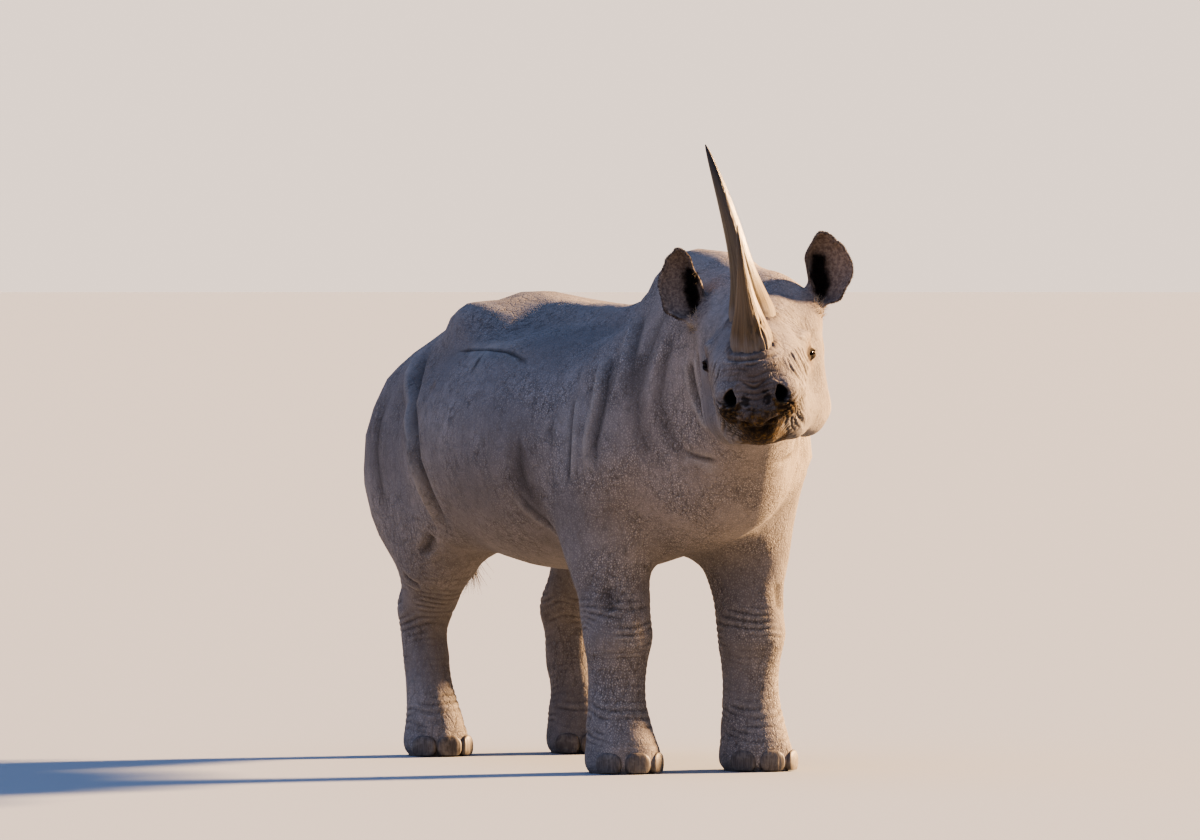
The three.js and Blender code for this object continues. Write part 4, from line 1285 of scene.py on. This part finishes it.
def bristles(name, material, roots, ways, lengths, thickness, droop=0.0):
    """One mesh of tapering three-sided bristles that leave the hide in the given ways and curve
    down; lengths and thickness are in millimetres."""
    single = as_mesh("bristle", rod(3, 3, top=0.12))
    pattern = values_of(single.vertices, "co", 3)
    corner_of = values_of(single.loops, "vertex_index", 1, np.int32)
    shape = bmesh.new()
    for _ in roots:
        shape.from_mesh(single)
    mesh = as_mesh(name, shape)

    ways = unit(ways)
    across = unit(np.cross(ways, chance.normal(size=ways.shape)))[:, None, :]
    beyond = np.cross(ways[:, None, :], across)
    along = (pattern[:, 2] + 0.5)[None, :, None]
    reach = (lengths * MILLI)[:, None, None]
    sag = np.array([0, 0, -droop]) + 0.25 * across
    points = roots[:, None, :] + ways[:, None, :] * reach * (along - 0.06)
    points += sag * reach * along ** 2
    points += (across * pattern[None, :, :1] + beyond * pattern[None, :, 1:2]) * thickness * MILLI
    mesh.vertices.foreach_set("co", points.astype(np.float32).ravel())

    flat = np.array([flat_place(root) for root in roots])
    patch = np.stack([pattern[:, 0] * 0.5, pattern[:, 2]], 1)[corner_of] * PATCH
    layer = mesh.uv_layers.new(name="OFBake")
    layer.uv.foreach_set("vector", (flat[:, None, :] + patch[None]).astype(np.float32).ravel())
    mesh.update()
    return piece(name, mesh, material)


def tuft(name, material, chosen, count, lengths, thickness, spread, out=1.0, lean=(0, 0, 0),
         inward=0.0, droop=0.0):
    """Bristles at random round the chosen points of the hide. They stand out, lean in one
    direction and toward the middle of the head, and spread at random."""
    where = chance.choice(np.flatnonzero(chosen), count)
    ways = outward[where]
    aside = chance.normal(0, SCATTER, ways.shape)
    aside -= ways * np.einsum("ij,ij->i", aside, ways)[:, None]
    roots = hide.points[where] + aside
    to_middle = np.where(to_head(roots)[:, :1] > 0, -1.0, 1.0) * np.array(HEAD_LEFT)
    ways = ways * out + lean + inward * to_middle + chance.normal(0, spread, ways.shape)
    return bristles(name, material, roots, ways, chance.uniform(*lengths, count), thickness, droop)


def eyelashes(material):
    """A row of short hairs on the edge of each upper lid."""
    roots, ways = [], []
    for side in (1, -1):
        axis, front, up = eye_axes(side)
        for u in np.linspace(-0.85, 0.85, 34):
            across = u * EYE_HALF_LENGTH + chance.normal(0, 0.4) * MILLI
            level = UPPER_LID * SQUINT[side] * 1.1 * (1 - u ** 2) + 1.2 * MILLI - 0.12 * across
            out = math.sqrt((EYE_RADIUS + LID_THICKNESS) ** 2 - across ** 2 - level ** 2)
            centre = EYE_PLACES[0] * (side, 1, 1)
            roots.append(from_head(centre + axis * out + front * across + up * level))
            way = axis * 0.8 + front * u * 0.6 + up * chance.uniform(0.1, 0.5)
            ways.append(way @ HEAD_AXES.T)
    lengths = chance.uniform(4, 8, len(roots))
    return bristles("lashes", material, np.array(roots), np.array(ways), lengths, 0.35)


def on_tail():
    """The points of the hide that lie on the lower half of the tail."""
    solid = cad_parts["tail"].data
    tree = BVHTree.FromPolygons(values_of(solid.vertices, "co", 3).tolist(),
                                [tuple(face.vertices) for face in solid.polygons])
    low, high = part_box("tail")
    high.z = TASSEL_TOP
    chosen = np.all((hide.points > low) & (hide.points < high), axis=1)
    for n in np.flatnonzero(chosen):
        chosen[n] = tree.find_nearest(Vector(hide.points[n]))[3] < 12 * MILLI
    return chosen


outward = hide.normals()
x, y, z = to_head(hide.points).T
dark_hair = dry_hair("dark_bristle", "#171210", "#3d2a20", 0.55)
pale_hair = dry_hair("pale_bristle", "#9c8d74", "#d8ccb4", 0.6)
forward = -0.5 * np.array(HEAD_BACK)

on_ear = (np.abs(x) > 0.135) & (y > 0.17) & (y < HEAD_END) & (z > 0.135)
ear_root = within(both((180, 215, 128)), 0.036)(hide.points)
on_muzzle = (y < -0.25) & (z < -0.13) & (marks["dark"] < 0.1)
beside_nose = within(both((52, -338, -22))[:1], 0.028)(hide.points)
coat = [
    tuft("ear_fringe", dark_hair, on_ear & (relative > 1.1), 5600, (1.5, 4.5), 0.32, spread=0.6),
    tuft("ear_tufts", dark_hair, on_ear & (marks["dark"] > 0.35), 700, (14, 32), 0.7, spread=0.4,
         lean=forward, inward=-0.3, droop=0.25),
    tuft("ear_root_hair", pale_hair, ear_root, 160, (10, 24), 0.6, spread=0.3,
         lean=forward + (0, 0, 0.4)),
    eyelashes(dark_hair),
    tuft("tail_tassel", dark_hair, on_tail() & (np.abs(outward[:, 1]) > 0.35), 900, (40, 95), 1.0,
         spread=0.14, out=(0.35, 0.6, 0.3), lean=(0, 0, -1), droop=0.15),
    tuft("muzzle_bristles", dark_hair, on_muzzle, 170, (5, 12), 0.45, spread=0.3,
         lean=(0, 0, -0.5)),
    tuft("nose_hair", pale_hair, beside_nose, 24, (7, 15), 0.4, spread=0.2, out=0.6,
         lean=(0, 0, -0.8), inward=0.5),
]

# ---------------------------------------------------------------- floor and light

FLOOR_RADIUS = 160

floor_shape = bmesh.new()
bmesh.ops.create_circle(floor_shape, cap_ends=True, radius=FLOOR_RADIUS, segments=96)
floor = add_object("floor", as_mesh("floor", floor_shape))
floor.data.materials.append(matt_floor_paint())
floor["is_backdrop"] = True

# pale warm walls all round, and a cooler, dimmer ceiling
world = bpy.data.worlds.new("studio")
add = blank(world)
rise = add("SeparateXYZ", add("TexCoord", out="Generated"), out="Z")
ceiling = add("MapRange", rise, 0.03, 0.3, **SMOOTH)
walls = add("Mix", ceiling, "#e6d4c7", "#7083a6", **TINTED)
add("OutputWorld", add("Background", walls, 1.25))
bpy.context.scene.world = world


def even_light(name, side, front, height, spread, strength, colour):
    """An even light that comes from beside, in front of and above the animal."""
    lamp = bpy.data.lights.new(name, "SUN")
    lamp.angle = math.radians(spread)
    lamp.energy = strength
    lamp.color = linear(colour)[:3]
    aim = -(to_right * side + to_camera * front + Vector((0, 0, height)))
    add_object(name, lamp).rotation_euler = aim.to_track_quat("-Z", "Y").to_euler()


even_light("low_sun", side=1, front=-0.55, height=0.42, spread=6, strength=20.5, colour="#ffd39e")
even_light("sky", side=-0.8, front=0.6, height=0.9, spread=120, strength=1.35, colour="#98b4f2")

# ---------------------------------------------------------------- what rides on what

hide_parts(*FLESH)
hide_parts("horn_front")
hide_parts("horn_rear")
for made, slot in ((eyes, "eye"), (toenails, "toenail")):
    for node, shape in made.items():
        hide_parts(node)
for made in (skin, horn_front, horn_rear, *eyes.values(), *toenails.values(), *coat):
    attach(made, "root")

made_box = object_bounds()
boxes = {"cad": cad_box, "made": made_box}
{name: [list(corner) for corner in box] for name, box in boxes.items()}
